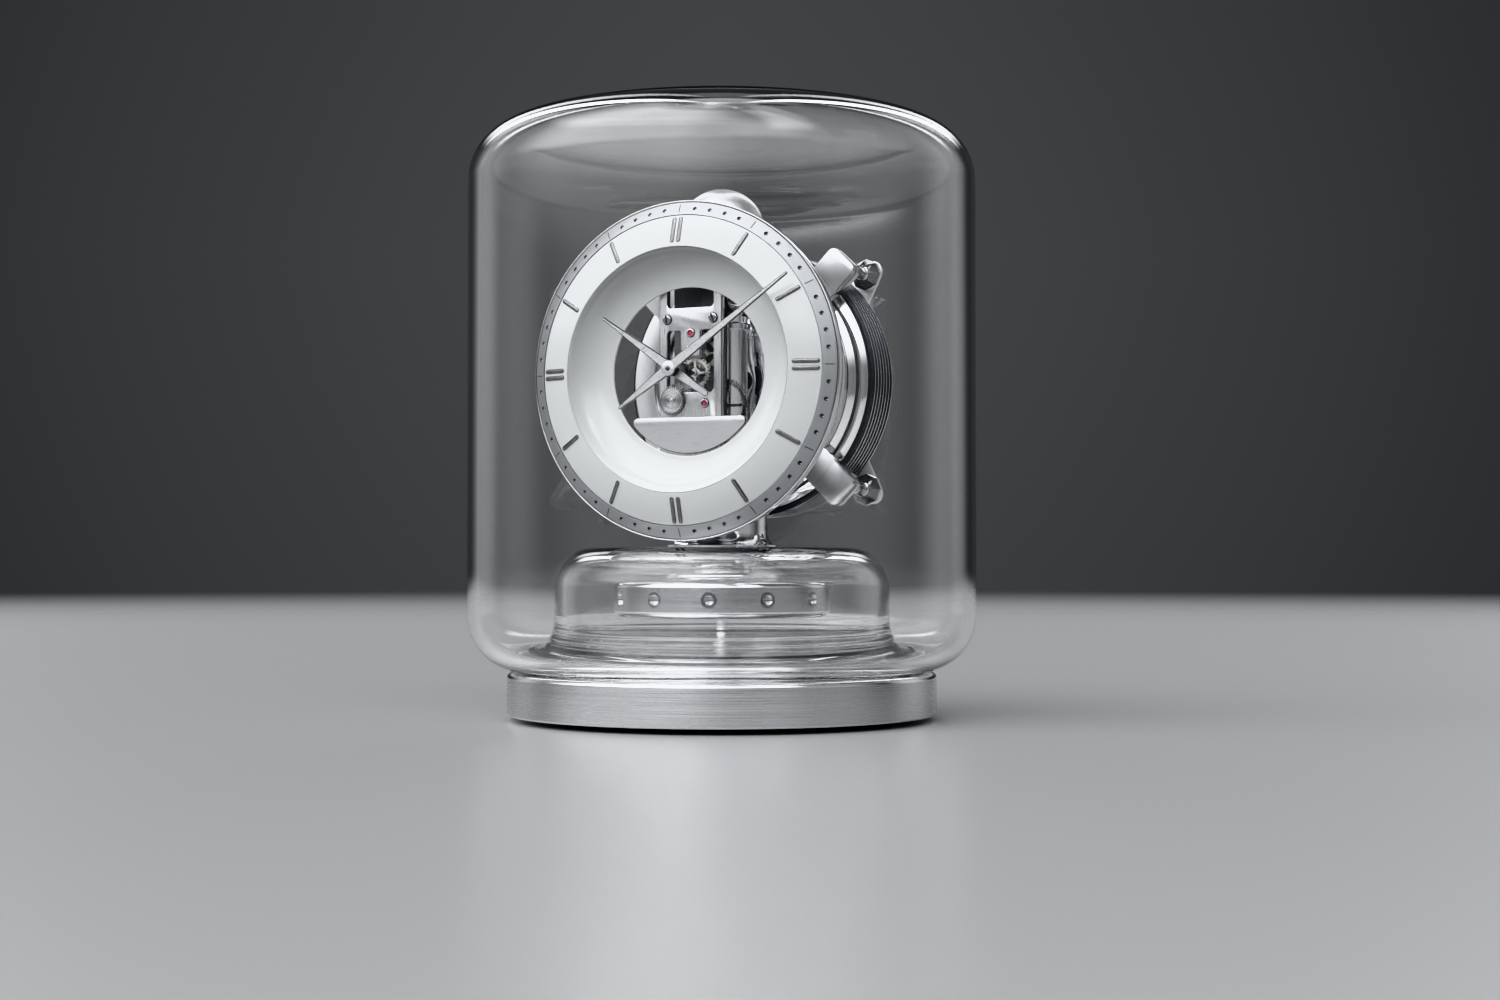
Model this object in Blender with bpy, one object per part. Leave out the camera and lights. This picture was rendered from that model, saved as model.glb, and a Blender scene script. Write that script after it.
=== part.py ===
"""Atmospheric clock: a torsion pendulum clock under a lift-off glass dome.

Metres, +Z up. The origin is on the surface the clock stands on, under the
middle of the base. The dial faces -Y. Run with: blender --background --python part.py
"""
import math

import bmesh
import bpy
from mathutils import Matrix, Vector

MM = 0.001

# Shared fits and finishes
GAP = 0.3 * MM               # between touching pieces
RUNNING = 0.5 * MM           # between a turning piece and what it passes
OVERRUN = 2.0 * MM           # cutters run past what they cut
SHARP_ANGLE = math.radians(32)
EDGE_STEPS = 2
CORNER_STEPS = 3
FILLET_STEPS = 4
CAP_STEPS = 6
LARGE_SIDES = 32
MEDIUM_SIDES = 20
SMALL_SIDES = 12

# Base
BASE_RADIUS = 91.5 * MM
BASE_TOP = 20.3 * MM
FOOT_HEIGHT = 2.5 * MM       # floor to underside of the base
BASE_EDGE_CHAMFER = 0.8 * MM
BASE_RIM_WIDTH = 2.5 * MM
BASE_RIM_HEIGHT = 2.1 * MM
BASE_WALL = 7.5 * MM
BASE_SHELF_WIDTH = 14.0 * MM
COVER_RADIUS = BASE_RADIUS - BASE_WALL
COVER_THICKNESS = 2.5 * MM
BASE_BORE = COVER_RADIUS - BASE_SHELF_WIDTH
FLOOR_PLATE_RISE = 2.0 * MM  # floor plate stands above the base top
FLOOR_PLATE_CHAMFER = 1.2 * MM
FOOT_PAD_RADIUS = 9.0 * MM
FOOT_STEM_RADIUS = 4.0 * MM
FOOT_STEM_LENGTH = 9.0 * MM
FOOT_INSET = 22.0 * MM
FOOT_CIRCLE = COVER_RADIUS - FOOT_INSET
FOOT_ANGLES = (30, 150, 270)

# Balance lock
LOCK_HUB_RADIUS = 7.0 * MM
LOCK_LEVER_THICKNESS = 1.2 * MM
LOCK_LEVER_WIDTH = 7.0 * MM
LOCK_LEVER_INSET = 3.5 * MM   # its tip stays under the base
LOCK_LEVER_REACH = BASE_RADIUS - LOCK_LEVER_INSET
LOCK_FLOOR_CLEARANCE = 0.9 * MM
LOCK_PIN_RADIUS = 2.5 * MM
LOCK_PIN_TRAVEL = 4.0 * MM   # free height under the balance stem
LOCK_PIN_HEAD_RADIUS = 4.5 * MM
LOCK_PIN_HEAD_HEIGHT = 3.0 * MM

# Glass dome
DOME_OVERHANG = 17.0 * MM
DOME_WALL = 5.0 * MM
DOME_FILLET = 24.4 * MM
DOME_SEAT = 8.5 * MM
DOME_HEADROOM = 21.2 * MM    # over the top cap
DOME_RADIUS = BASE_RADIUS + DOME_OVERHANG
DOME_LIP_INNER = BASE_RADIUS - DOME_SEAT

# Glass pedestal, a bell over the balance
BELL_WALL = 4.8 * MM
BELL_CORNER = 16.5 * MM
BELL_STRAIGHT = 12.1 * MM
BELL_FLARE_WIDTH = 8.9 * MM
BELL_FLARE_HEIGHT = 18.0 * MM
BELL_SKIRT_HEIGHT = 5.9 * MM
BELL_SKIRT_WIDTH = 6.0 * MM
BELL_SKIRT_CLEARANCE = 2.5 * MM   # inside the dome's lip
BELL_HOLE = 6.5 * MM
BELL_BOTTOM = BASE_TOP + GAP
BELL_FLARE_TOP = BELL_BOTTOM + BELL_SKIRT_HEIGHT + BELL_FLARE_HEIGHT
BELL_TOP = BELL_FLARE_TOP + BELL_STRAIGHT + BELL_CORNER
BELL_RADIUS = DOME_LIP_INNER - BELL_SKIRT_CLEARANCE - BELL_FLARE_WIDTH

# Column foot, clamp disc and suspension tube
FOOT_FLANGE_RADIUS = 24.4 * MM
NECK_RADIUS = 19.5 * MM
NECK_FLARE_HEIGHT = 7.0 * MM
NECK_RISE = 13.9 * MM        # above the bell
NECK_TOP = BELL_TOP + NECK_RISE
SPIGOT_BORE = 3.5 * MM
SPIGOT_FLOOR_RISE = 3.9 * MM
SPIGOT_FLOOR = BELL_TOP + SPIGOT_FLOOR_RISE
CLAMP_RADIUS = 24.4 * MM
CLAMP_DROP = 6.0 * MM        # its middle under the bell's ceiling
CLAMP_HALF = 2.3 * MM
CLAMP_COLLAR_RADIUS = 12.0 * MM
CLAMP_EDGE_ANGLES = (-60, -30, 0, 30, 60)
CLAMP_MID = BELL_TOP - BELL_WALL - CLAMP_DROP
SPIGOT_SHORT = 0.3 * MM      # the spigot ends inside the clamp
SPIGOT_BOTTOM = CLAMP_MID - CLAMP_HALF + SPIGOT_SHORT
TUBE_RADIUS = 11.0 * MM
TUBE_WALL = 2.0 * MM
TUBE_BAND_RISE = 1.2 * MM
TUBE_BAND_HEIGHT = 3.0 * MM
CAP_RADIUS = 18.0 * MM
CAP_HEIGHT = 28.7 * MM
CAP_DOME_HEIGHT = 17.0 * MM
CAP_WALL = 3.0 * MM
CAP_TUBE_ROOM = 6.0 * MM     # between tube end and the cap's shoulder
WIRE_RADIUS = 0.35 * MM
COLLET_RADIUS = 4.0 * MM
COLLET_HEIGHT = 7.0 * MM

# Torsion pendulum balance
BALANCE_RADIUS = 46.0 * MM
BALANCE_RIM = 8.0 * MM
BALANCE_INNER = BALANCE_RADIUS - BALANCE_RIM
BALANCE_CLEARANCE = 1.0 * MM # under the clamp disc
BALANCE_HEIGHT = 15.0 * MM
BALANCE_EDGE = 2.0 * MM
BALANCE_HIGH = CLAMP_MID - CLAMP_HALF - BALANCE_CLEARANCE
BALANCE_LOW = BALANCE_HIGH - BALANCE_HEIGHT
LOCK_PIN_TOP = BALANCE_LOW + BALANCE_EDGE - LOCK_PIN_TRAVEL
CUP_COUNT = 12
CUP_SIDES = 6
CUP_RINGS = 5
CUP_RADIUS = 3.4 * MM
CUP_SET_OUT = 0.9 * MM       # cup centre outside the rim
CUP_PHASE = 19.7             # degrees from the front towards +X
HUB_RADIUS = 6.0 * MM
SPOKE_COUNT = 4
SPOKE_WIDTH = 5.0 * MM
SPOKE_THICKNESS = 3.0 * MM
STEM_RADIUS = 1.6 * MM

# Movement depth, from the tube forwards
WHEEL_THICKNESS = 1.0 * MM
GREAT_WHEEL_CLEARANCE = 1.6 * MM
GREAT_WHEEL_Y = -(TUBE_RADIUS + GREAT_WHEEL_CLEARANCE + WHEEL_THICKNESS)
BACK_PLATE_CLEARANCE = 0.9 * MM
BACK_PLATE_THICKNESS = 2.0 * MM
BACK_PLATE_BACK = GREAT_WHEEL_Y - BACK_PLATE_CLEARANCE
BACK_PLATE_FRONT = BACK_PLATE_BACK - BACK_PLATE_THICKNESS
ESCAPE_WHEEL_STEP = 2.1 * MM
THIRD_WHEEL_STEP = 3.0 * MM
CENTRE_WHEEL_STEP = 4.0 * MM
FRONT_PLATE_STEP = 1.4 * MM
ESCAPE_WHEEL_Y = BACK_PLATE_FRONT - ESCAPE_WHEEL_STEP
THIRD_WHEEL_Y = ESCAPE_WHEEL_Y - THIRD_WHEEL_STEP
CENTRE_WHEEL_Y = THIRD_WHEEL_Y - CENTRE_WHEEL_STEP
PLATE_THICKNESS = 3.0 * MM
PLATE_BACK = CENTRE_WHEEL_Y - FRONT_PLATE_STEP
PLATE_FRONT = PLATE_BACK - PLATE_THICKNESS

# Wheel train
MODULE = 0.5 * MM
TOOTH_HALF_DEPTH = 0.4 * MM
MESH_CLEARANCE = 0.3 * MM
CENTRE_TEETH = 26
MOTION_TEETH = 30
MOTION_DISC_RADIUS = 6.3 * MM
MOTION_DISC_TEETH = 40
MOTION_DISC_DEPTH = 0.35 * MM
GREAT_TEETH = 46
GREAT_DIRECTION = 152.5      # degrees clockwise from twelve
MOTION_SPREAD = 61.9         # from the great wheel's direction
MOTION_DIRECTION = GREAT_DIRECTION + MOTION_SPREAD
GREAT_PINION_TEETH = 12
GREAT_RIM = 1.6 * MM
GREAT_HUB = 2.6 * MM
GREAT_SPOKES = 5
GREAT_SPOKE_WIDTH = 1.2 * MM
THIRD_PINION_TEETH = 8
THIRD_TEETH = 24
THIRD_DIRECTION = 16.5
ESCAPE_PINION_TEETH = 8
ESCAPE_TEETH = 15
ESCAPE_RADIUS = 4.2 * MM
ESCAPE_TOOTH = 1.1 * MM
ESCAPE_DIRECTION = -15.5     # from the third wheel
PIVOT_RADIUS = 0.7 * MM
PALLET_RISE = 7.6 * MM       # pallet pivot above the escape wheel
PALLET_SPAN = 4.6 * MM
PALLET_ARM = 1.2 * MM
PALLET_DROP = 2.6 * MM

# Plaque, under the motion wheel's disc
MOTION_DISTANCE = (CENTRE_TEETH + MOTION_TEETH) * MODULE / 2 + MESH_CLEARANCE
MOTION_DROP = -MOTION_DISTANCE * math.cos(math.radians(MOTION_DIRECTION))
PLAQUE_HEIGHT = 15.4 * MM
PLAQUE_THICKNESS = 1.2 * MM
PLAQUE_EDGE = 0.24 * MM
PLAQUE_CLEARANCE = 1.1 * MM  # inside the dial's opening
PLAQUE_TOP = -(MOTION_DROP + MOTION_DISC_RADIUS + RUNNING)
PLAQUE_RADIUS = PLAQUE_HEIGHT - PLAQUE_TOP

# Dial, from the opening outwards and from the front plate forwards
OPENING_RADIUS = PLAQUE_RADIUS + PLAQUE_CLEARANCE
BOWL_WIDTH = 15.7 * MM
CHAPTER_WIDTH = 13.2 * MM
MINUTE_RING_WIDTH = 5.3 * MM
BEZEL_LIP = 0.6 * MM
BEZEL_ROUND = 0.9 * MM
BEZEL_LEDGE = 6.0 * MM       # under the chapter ring
CREST_RADIUS = OPENING_RADIUS + BOWL_WIDTH
CHAPTER_OUTER = CREST_RADIUS + CHAPTER_WIDTH
MINUTE_RING_INNER = CHAPTER_OUTER + GAP
BEZEL_RADIUS = MINUTE_RING_INNER + MINUTE_RING_WIDTH + GAP + BEZEL_LIP
BEZEL_INNER = CHAPTER_OUTER - BEZEL_LEDGE
DIAL_FRAME_INSET = 2.8 * MM
DIAL_FRAME_MARGIN = 4.5 * MM
DIAL_FRAME_THICKNESS = 3.4 * MM
DIAL_FRAME_INNER = CREST_RADIUS - DIAL_FRAME_INSET
DIAL_FRAME_OUTER = BEZEL_RADIUS - DIAL_FRAME_MARGIN
BEZEL_THICKNESS = 3.0 * MM
BEZEL_LIP_RISE = 1.2 * MM
MINUTE_RING_RISE = 2.7 * MM
CHAPTER_STEP = 0.2 * MM
CREST_RISE = 3.7 * MM
BOWL_DEPTH = 12.0 * MM
DIAL_SHEET = 1.1 * MM
BEZEL_BACK = PLATE_FRONT - GAP - DIAL_FRAME_THICKNESS - GAP
BEZEL_SEAT = BEZEL_BACK - BEZEL_THICKNESS
BEZEL_FRONT = BEZEL_SEAT - BEZEL_LIP_RISE
MINUTE_RING_FRONT = BEZEL_FRONT - MINUTE_RING_RISE
CHAPTER_OUTER_Y = MINUTE_RING_FRONT + CHAPTER_STEP
CREST_Y = CHAPTER_OUTER_Y - CREST_RISE
OPENING_Y = CREST_Y + BOWL_DEPTH
MARKER_INNER_MARGIN = 1.5 * MM
MARKER_OUTER_MARGIN = 0.6 * MM
MARKER_INNER = CREST_RADIUS + MARKER_INNER_MARGIN
MARKER_OUTER = CHAPTER_OUTER - MARKER_OUTER_MARGIN
MARKER_WIDTH = 1.4 * MM
MARKER_THICKNESS = 0.5 * MM
MARKER_PAIR_SPACING = 2.9 * MM
MARKER_SINK = 0.4 * MM
BEZEL_CLEARANCE = 2.5 * MM   # over the bell
DIAL_Z = BELL_TOP + BEZEL_CLEARANCE + BEZEL_RADIUS

# Hands, set to nine minutes past ten
MINUTE_HAND_ANGLE = 55.4
HAND_THICKNESS = 0.8 * MM
HOUR_HAND_CLEARANCE = 1.2 * MM   # over the crest of the bowl
HAND_SPACING = 2.7 * MM
HOUR_HAND_FRONT = CREST_Y - HOUR_HAND_CLEARANCE - HAND_THICKNESS
MINUTE_HAND_FRONT = HOUR_HAND_FRONT - HAND_SPACING - HAND_THICKNESS
MINUTE_HAND_OVERLAP = 0.2 * MM   # past the chapter ring
HOUR_HAND_OVERLAP = 4.5 * MM     # past the opening
MINUTE_HAND_TIP = CHAPTER_OUTER + MINUTE_HAND_OVERLAP
MINUTE_HAND_TAIL = 28.0 * MM
HOUR_HAND_TIP = OPENING_RADIUS + HOUR_HAND_OVERLAP
HOUR_HAND_TAIL = 19.5 * MM
HAND_WIDTH = 4.6 * MM
HAND_TIP_WIDTH = 1.3 * MM
HAND_HUB_RADIUS = 3.3 * MM
HAND_FLANK_ANGLE = 10        # where a tip's round end meets the flanks
HAND_HOUR = 10
ARBOR_RADIUS = 1.0 * MM
PIPE_WALL = 0.8 * MM
PIPE_PROUD = 0.3 * MM
CANNON_RADIUS = 3.2 * MM
CANNON_LENGTH = 3.6 * MM
CANNON_STANDOFF = 3.2 * MM
CANNON_LEAVES = 12
PIPE_CLEARANCE = 1.2 * MM
CANNON_FRONT = PLATE_FRONT - CANNON_STANDOFF - CANNON_LENGTH
PIPE_BACK = CANNON_FRONT - PIPE_CLEARANCE

# Movement plates
PLATE_HALF_WIDTH = 14.5 * MM
PLATE_FLANK = 3.8 * MM
PLATE_MARGIN = 18.5 * MM     # ends short of the bezel's rim
PLATE_HALF_HEIGHT = BEZEL_RADIUS - PLATE_MARGIN
WINDOW_HALF_WIDTH = PLATE_HALF_WIDTH - PLATE_FLANK
WINDOW_CORNER = 1.6 * MM
UPPER_WINDOW_HEIGHT = 14.0 * MM
UPPER_WINDOW_MARGIN = 11.0 * MM
UPPER_WINDOW_HIGH = PLATE_HALF_HEIGHT - UPPER_WINDOW_MARGIN
UPPER_WINDOW_LOW = UPPER_WINDOW_HIGH - UPPER_WINDOW_HEIGHT
TRAIN_WINDOW_LOW = -8.3 * MM
TRAIN_WINDOW_HIGH = 17.6 * MM
TONGUE_HALF_WIDTH = 4.6 * MM
TONGUE_LOW = 6.5 * MM
BACK_PLATE_MARGIN = 2.77 * MM   # beside the great wheel's pivot
PILLAR_RADIUS = 1.8 * MM
PILLAR_LOW = -28.0 * MM
PILLAR_HIGH = 25.2 * MM
SCREW_HEAD_RADIUS = 1.9 * MM
SCREW_HEAD_HEIGHT = 0.9 * MM
SCREW_SLOT = 0.5 * MM
JEWEL_RADIUS = 1.5 * MM
JEWEL_HEIGHT = 0.5 * MM
SCREW_TURNS = (80, 70, 20)   # of the slots: left, right, tongue

# Bridges that tie plates, tube and capsule yoke together
BRIDGE_OVERLAP = 1.5 * MM
BRIDGE_HALF_WIDTH = PLATE_HALF_WIDTH + BRIDGE_OVERLAP
BRIDGE_HEIGHT = 8.0 * MM
LOWER_BRIDGE_HEIGHT = 17.5 * MM
UPPER_BRIDGE_INSET = 0.1 * MM   # under the front plate's top
UPPER_BRIDGE_LOW = DIAL_Z + PLATE_HALF_HEIGHT - UPPER_BRIDGE_INSET - BRIDGE_HEIGHT
CAP_TOP = UPPER_BRIDGE_LOW + BRIDGE_HEIGHT + GAP + CAP_HEIGHT
TUBE_TOP = CAP_TOP - CAP_DOME_HEIGHT - CAP_TUBE_ROOM
DOME_TOP = CAP_TOP + DOME_HEADROOM + DOME_WALL

# Winding barrel, turned by the capsule through its chain
BARREL_SET_FORWARD = 1.5 * MM    # of the back plate's back
BARREL_Y = BACK_PLATE_BACK - BARREL_SET_FORWARD
BARREL_RADIUS = 7.6 * MM
BARREL_LENGTH = 8.7 * MM
RATCHET_RADIUS = 9.4 * MM
RATCHET_CLEARANCE = 0.8 * MM     # beside the back plate
RATCHET_THICKNESS = 2.6 * MM
RATCHET_BRIDGE_CLEARANCE = 1.6 * MM
BARREL_Z = UPPER_BRIDGE_LOW - RATCHET_BRIDGE_CLEARANCE - RATCHET_RADIUS
TUBE_BAND_CLEARANCE = 0.6 * MM   # under the ratchet wheel
TUBE_BAND_HIGH = BARREL_Z - RATCHET_RADIUS - TUBE_BAND_CLEARANCE
TUBE_BAND_LOW = TUBE_BAND_HIGH - TUBE_BAND_HEIGHT
WIRE_END_DROP = 1.0 * MM
WIRE_BOTTOM = TUBE_BAND_HIGH - WIRE_END_DROP
RATCHET_TEETH = 36
RATCHET_DEPTH = 0.6 * MM
BARREL_ARBOR_RADIUS = 1.5 * MM
BARREL_BRACKET_THICKNESS = 2.0 * MM
BARREL_BRACKET_HALF_WIDTH = 3.0 * MM
BARREL_BRACKET_CORNER = 0.75 * MM
BARREL_FOOT_REACH = 4.0 * MM
CHAIN_WIDTH = 1.8 * MM
CHAIN_THICKNESS = 1.0 * MM
CHAIN_LINK = 4.0 * MM
CHAIN_WAIST_SHARE = 0.55

# Capsule, its drum, dish, yoke and clamps
CAPSULE_INSET = 12.0 * MM    # inside the bezel's rim
DRUM_RADIUS = BEZEL_RADIUS - CAPSULE_INSET
DRUM_RIB = 0.8 * MM
DRUM_RIBS = 4
DRUM_LENGTH = 23.5 * MM
DRUM_WALL = 2.0 * MM
DISH_INSET = 1.5 * MM
DISH_SLOPE_WIDTH = 17.0 * MM
DISH_DEPTH = 7.7 * MM
DISH_HOLE = 5.0 * MM
DISH_SHEET = 1.2 * MM
DISH_RADIUS = DRUM_RADIUS - DISH_INSET
DISH_FLAT = DISH_RADIUS - DISH_SLOPE_WIDTH
YOKE_CLEARANCE = 4.0 * MM    # behind the tube
YOKE_INSET = 6.0 * MM
YOKE_WIDTH = 10.0 * MM
YOKE_THICKNESS = 4.0 * MM
YOKE_OUTER = DISH_RADIUS - YOKE_INSET
YOKE_INNER = YOKE_OUTER - YOKE_WIDTH
YOKE_FRONT = TUBE_RADIUS + YOKE_CLEARANCE
DISH_CLEARANCE = 0.8 * MM
DISH_FLOOR = YOKE_FRONT + YOKE_THICKNESS + DISH_CLEARANCE
DRUM_FRONT = DISH_FLOOR + DISH_DEPTH
DRUM_BACK = DRUM_FRONT + DRUM_LENGTH
BELLOWS_INSET = 8.5 * MM
BELLOWS_RADIUS = DRUM_RADIUS - BELLOWS_INSET
BELLOWS_FOLD = 4.0 * MM
BELLOWS_FOLDS = 3
BELLOWS_SET_BACK = 6.5 * MM
BELLOWS_FRONT = DRUM_FRONT + BELLOWS_SET_BACK
PUSH_PLATE_THICKNESS = 2.0 * MM
PUSH_PLATE_INSET = 8.0 * MM
PUSH_PLATE_RADIUS = BELLOWS_RADIUS - PUSH_PLATE_INSET
CHAIN_HOLE = 2.6 * MM
POST_RADIUS = 2.4 * MM
NUT_SMALL = 3.4 * MM
NUT_LARGE = 7.1 * MM
NUT_LENGTH = 7.0 * MM
NUT_COLLAR = 2.0 * MM
NUT_FLUTES = 8
NUT_FLUTE_SIDES = 3
NUT_FLUTE_DEPTH_SHARE = 0.10
POST_CIRCLE = DRUM_RADIUS + DRUM_RIB + RUNNING + NUT_LARGE
LUG_MARGIN = 5.1 * MM        # outside the post's axis
LUG_REACH = POST_CIRCLE + LUG_MARGIN
LUG_HALF_WIDTH = 7.75 * MM
LUG_CORNER = 4.0 * MM
LUG_THICKNESS = 8.0 * MM
EAR_RING_INSET = 0.5 * MM
EAR_RING_WIDTH = 14.0 * MM
EAR_RING_OUTER = DRUM_RADIUS - EAR_RING_INSET
EAR_RING_INNER = EAR_RING_OUTER - EAR_RING_WIDTH
EAR_REACH = POST_CIRCLE + NUT_LARGE
EAR_HALF_WIDTH = 9.0 * MM
EAR_THICKNESS = 2.0 * MM
EAR_TIP_SWING = 60
LUG_ANGLES = (45, 135, 225, 315)


def clear_scene():
    for item in list(bpy.data.objects):
        bpy.data.objects.remove(item, do_unlink=True)


def finish(name, colour, roughness, metallic=0.0, transmission=0.0):
    """One Principled material for one sub-part."""
    made = bpy.data.materials.new(name)
    made.use_nodes = True
    shader = made.node_tree.nodes["Principled BSDF"]
    shader.inputs["Base Color"].default_value = (*colour, 1.0)
    shader.inputs["Roughness"].default_value = roughness
    shader.inputs["Metallic"].default_value = metallic
    shader.inputs["Transmission Weight"].default_value = transmission
    return made


FINISHES = {
    "polished_steel": ((0.80, 0.80, 0.82), 0.08, 1.0, 0.0),
    "brushed_steel": ((0.62, 0.62, 0.64), 0.32, 1.0, 0.0),
    "satin_plate": ((0.72, 0.72, 0.73), 0.38, 1.0, 0.0),
    "dark_steel": ((0.10, 0.10, 0.11), 0.30, 1.0, 0.0),
    "lacquer": ((0.93, 0.93, 0.92), 0.25, 0.0, 0.0),
    "glass": ((0.95, 0.97, 0.98), 0.02, 0.0, 1.0),
    "ruby": ((0.55, 0.02, 0.08), 0.10, 0.0, 0.3),
    "brass": ((0.72, 0.68, 0.58), 0.25, 1.0, 0.0),
    "rubber": ((0.03, 0.03, 0.03), 0.70, 0.0, 0.0),
}


def place(name, mesh, origin, look):
    """Make the named object for a mesh, with its own material and smooth round faces."""
    mesh.name = name
    mesh.shade_smooth()
    mesh.set_sharp_from_angle(angle=SHARP_ANGLE)
    mesh.materials.append(finish(name + "_finish", *FINISHES[look]))
    made = bpy.data.objects.new(name, mesh)
    made.location = origin
    bpy.context.collection.objects.link(made)
    return made


def to_mesh(bm):
    bmesh.ops.recalc_face_normals(bm, faces=bm.faces)
    mesh = bpy.data.meshes.new("shape")
    bm.to_mesh(mesh)
    bm.free()
    return mesh


def upright(radius, height):
    return Vector((radius, 0, height))


def facing(radius, depth):
    return Vector((radius, depth, 0))


def sideways(radius, reach):
    return Vector((reach, radius, 0))


AXES = {
    "Z": (Vector((0, 0, 1)), upright),
    "Y": (Vector((0, 1, 0)), facing),
    "X": (Vector((1, 0, 0)), sideways),
}


def turned_bm(profile, axis, sides):
    """Spin a profile of (radius, height) points; it closes on itself or on the axis."""
    direction, point = AXES[axis]
    bm = bmesh.new()
    ring = [bm.verts.new(point(r, h)) for r, h in profile]
    pairs = list(zip(ring, ring[1:]))
    if min(r for r, h in profile) > 0:
        pairs.append((ring[-1], ring[0]))
    edges = [bm.edges.new(pair) for pair in pairs]
    bmesh.ops.spin(bm, geom=ring + edges, cent=(0, 0, 0), axis=direction,
                   angle=math.tau, steps=sides, use_merge=True)
    bmesh.ops.remove_doubles(bm, verts=bm.verts, dist=0.01 * MM)
    return bm


def turned(name, profile, look, origin=(0, 0, 0), axis="Z", sides=MEDIUM_SIDES):
    return place(name, to_mesh(turned_bm(profile, axis, sides)), origin, look)


def arc(centre, radius, start, end, steps):
    """Points on an arc in a profile or an outline; angles in degrees from its first axis."""
    angles = [math.radians(start + (end - start) * i / steps) for i in range(steps + 1)]
    return [(centre[0] + radius * math.cos(a), centre[1] + radius * math.sin(a)) for a in angles]


def quarter_turn(steps):
    return [math.radians(90 * i / steps) for i in range(steps + 1)]


def circle(centre, radius, sides=SMALL_SIDES):
    return arc(centre, radius, 0, 360, sides)[:-1]


def rounded_box(low, high, corner, steps=CORNER_STEPS):
    """Outline of a rectangle with round corners."""
    points = []
    for cx, cy, start in ((high[0], high[1], 0), (low[0], high[1], 90),
                          (low[0], low[1], 180), (high[0], low[1], 270)):
        inward_x = corner if cx == low[0] else -corner
        inward_y = corner if cy == low[1] else -corner
        points += arc((cx + inward_x, cy + inward_y), corner, start, start + 90, steps)
    return points


FLAT = {
    "XZ": lambda u, v, w: Vector((u, w, v)),
    "XY": lambda u, v, w: Vector((u, v, w)),
    "YZ": lambda u, v, w: Vector((w, u, v)),
}


def sheet_bm(outline, holes, low, high, plane):
    """Solid between two levels, with an outline and holes."""
    spot = FLAT[plane]
    bm = bmesh.new()
    for loop in [outline] + list(holes):
        ring = [bm.verts.new(spot(u, v, low)) for u, v in loop]
        for first, second in zip(ring, ring[1:] + ring[:1]):
            bm.edges.new((first, second))
    bmesh.ops.triangle_fill(bm, use_beauty=True, use_dissolve=False, edges=bm.edges)
    pushed = bmesh.ops.extrude_face_region(bm, geom=list(bm.faces), use_keep_orig=True)
    moved = [item for item in pushed["geom"] if isinstance(item, bmesh.types.BMVert)]
    bmesh.ops.translate(bm, verts=moved, vec=spot(0, 0, high - low))
    return bm


def sheet(name, outline, low, high, look, holes=(), plane="XZ", origin=(0, 0, 0)):
    return place(name, to_mesh(sheet_bm(outline, holes, low, high, plane)), origin, look)


def moved(bm, offset):
    bmesh.ops.translate(bm, verts=bm.verts, vec=offset)
    return bm


def rod_bm(radius, low, high, axis, sides=SMALL_SIDES):
    return turned_bm([(0, low), (radius, low), (radius, high), (0, high)], axis, sides)


def rod(name, radius, low, high, look, origin=(0, 0, 0), axis="Y"):
    return place(name, to_mesh(rod_bm(radius, low, high, axis)), origin, look)


def box_bm(low, high):
    corners = [(low[0], low[1]), (high[0], low[1]), (high[0], high[1]), (low[0], high[1])]
    return sheet_bm(corners, (), low[2], high[2], "XY")


def cutter(name, bm, origin=(0, 0, 0)):
    """Shape that is cut from, or joined to, another, and isn't part of the clock itself."""
    made = place(name, to_mesh(bm), origin, "rubber")
    made.hide_render = True
    made.display_type = "WIRE"
    return made


def combine(target, other, operation):
    step = target.modifiers.new(operation.title(), "BOOLEAN")
    step.operation = operation
    step.solver = "EXACT"
    step.object = other
    return target


def cut(target, name, bm, origin=(0, 0, 0)):
    return combine(target, cutter(name, bm, origin), "DIFFERENCE")


def rounded_edges(target, width):
    step = target.modifiers.new("Rounded edges", "BEVEL")
    step.width = width
    step.segments = 1
    step.limit_method = "ANGLE"
    step.angle_limit = SHARP_ANGLE


def clock_point(distance, degrees, centre=(0, 0)):
    """Point at a distance and a clockwise angle from twelve, in dial coordinates (x, z)."""
    angle = math.radians(degrees)
    return centre[0] + distance * math.sin(angle), centre[1] + distance * math.cos(angle)


# Wheel train layout: pitch radii, centres and tooth phases, all from the tooth counts

def pitch_radius(teeth):
    return teeth * MODULE / 2


def mesh_distance(teeth, other_teeth):
    return pitch_radius(teeth) + pitch_radius(other_teeth) + MESH_CLEARANCE


def outline_angle(clock_degrees):
    """Clockwise-from-twelve angle as an outline angle from +X."""
    return 90 - clock_degrees


def meshed_phase(teeth, phase, other_teeth, direction):
    """Phase of a wheel that meshes with another in a given outline direction."""
    lead = teeth * (direction - phase)
    return direction + 180 - (180 - lead) / other_teeth


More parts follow.
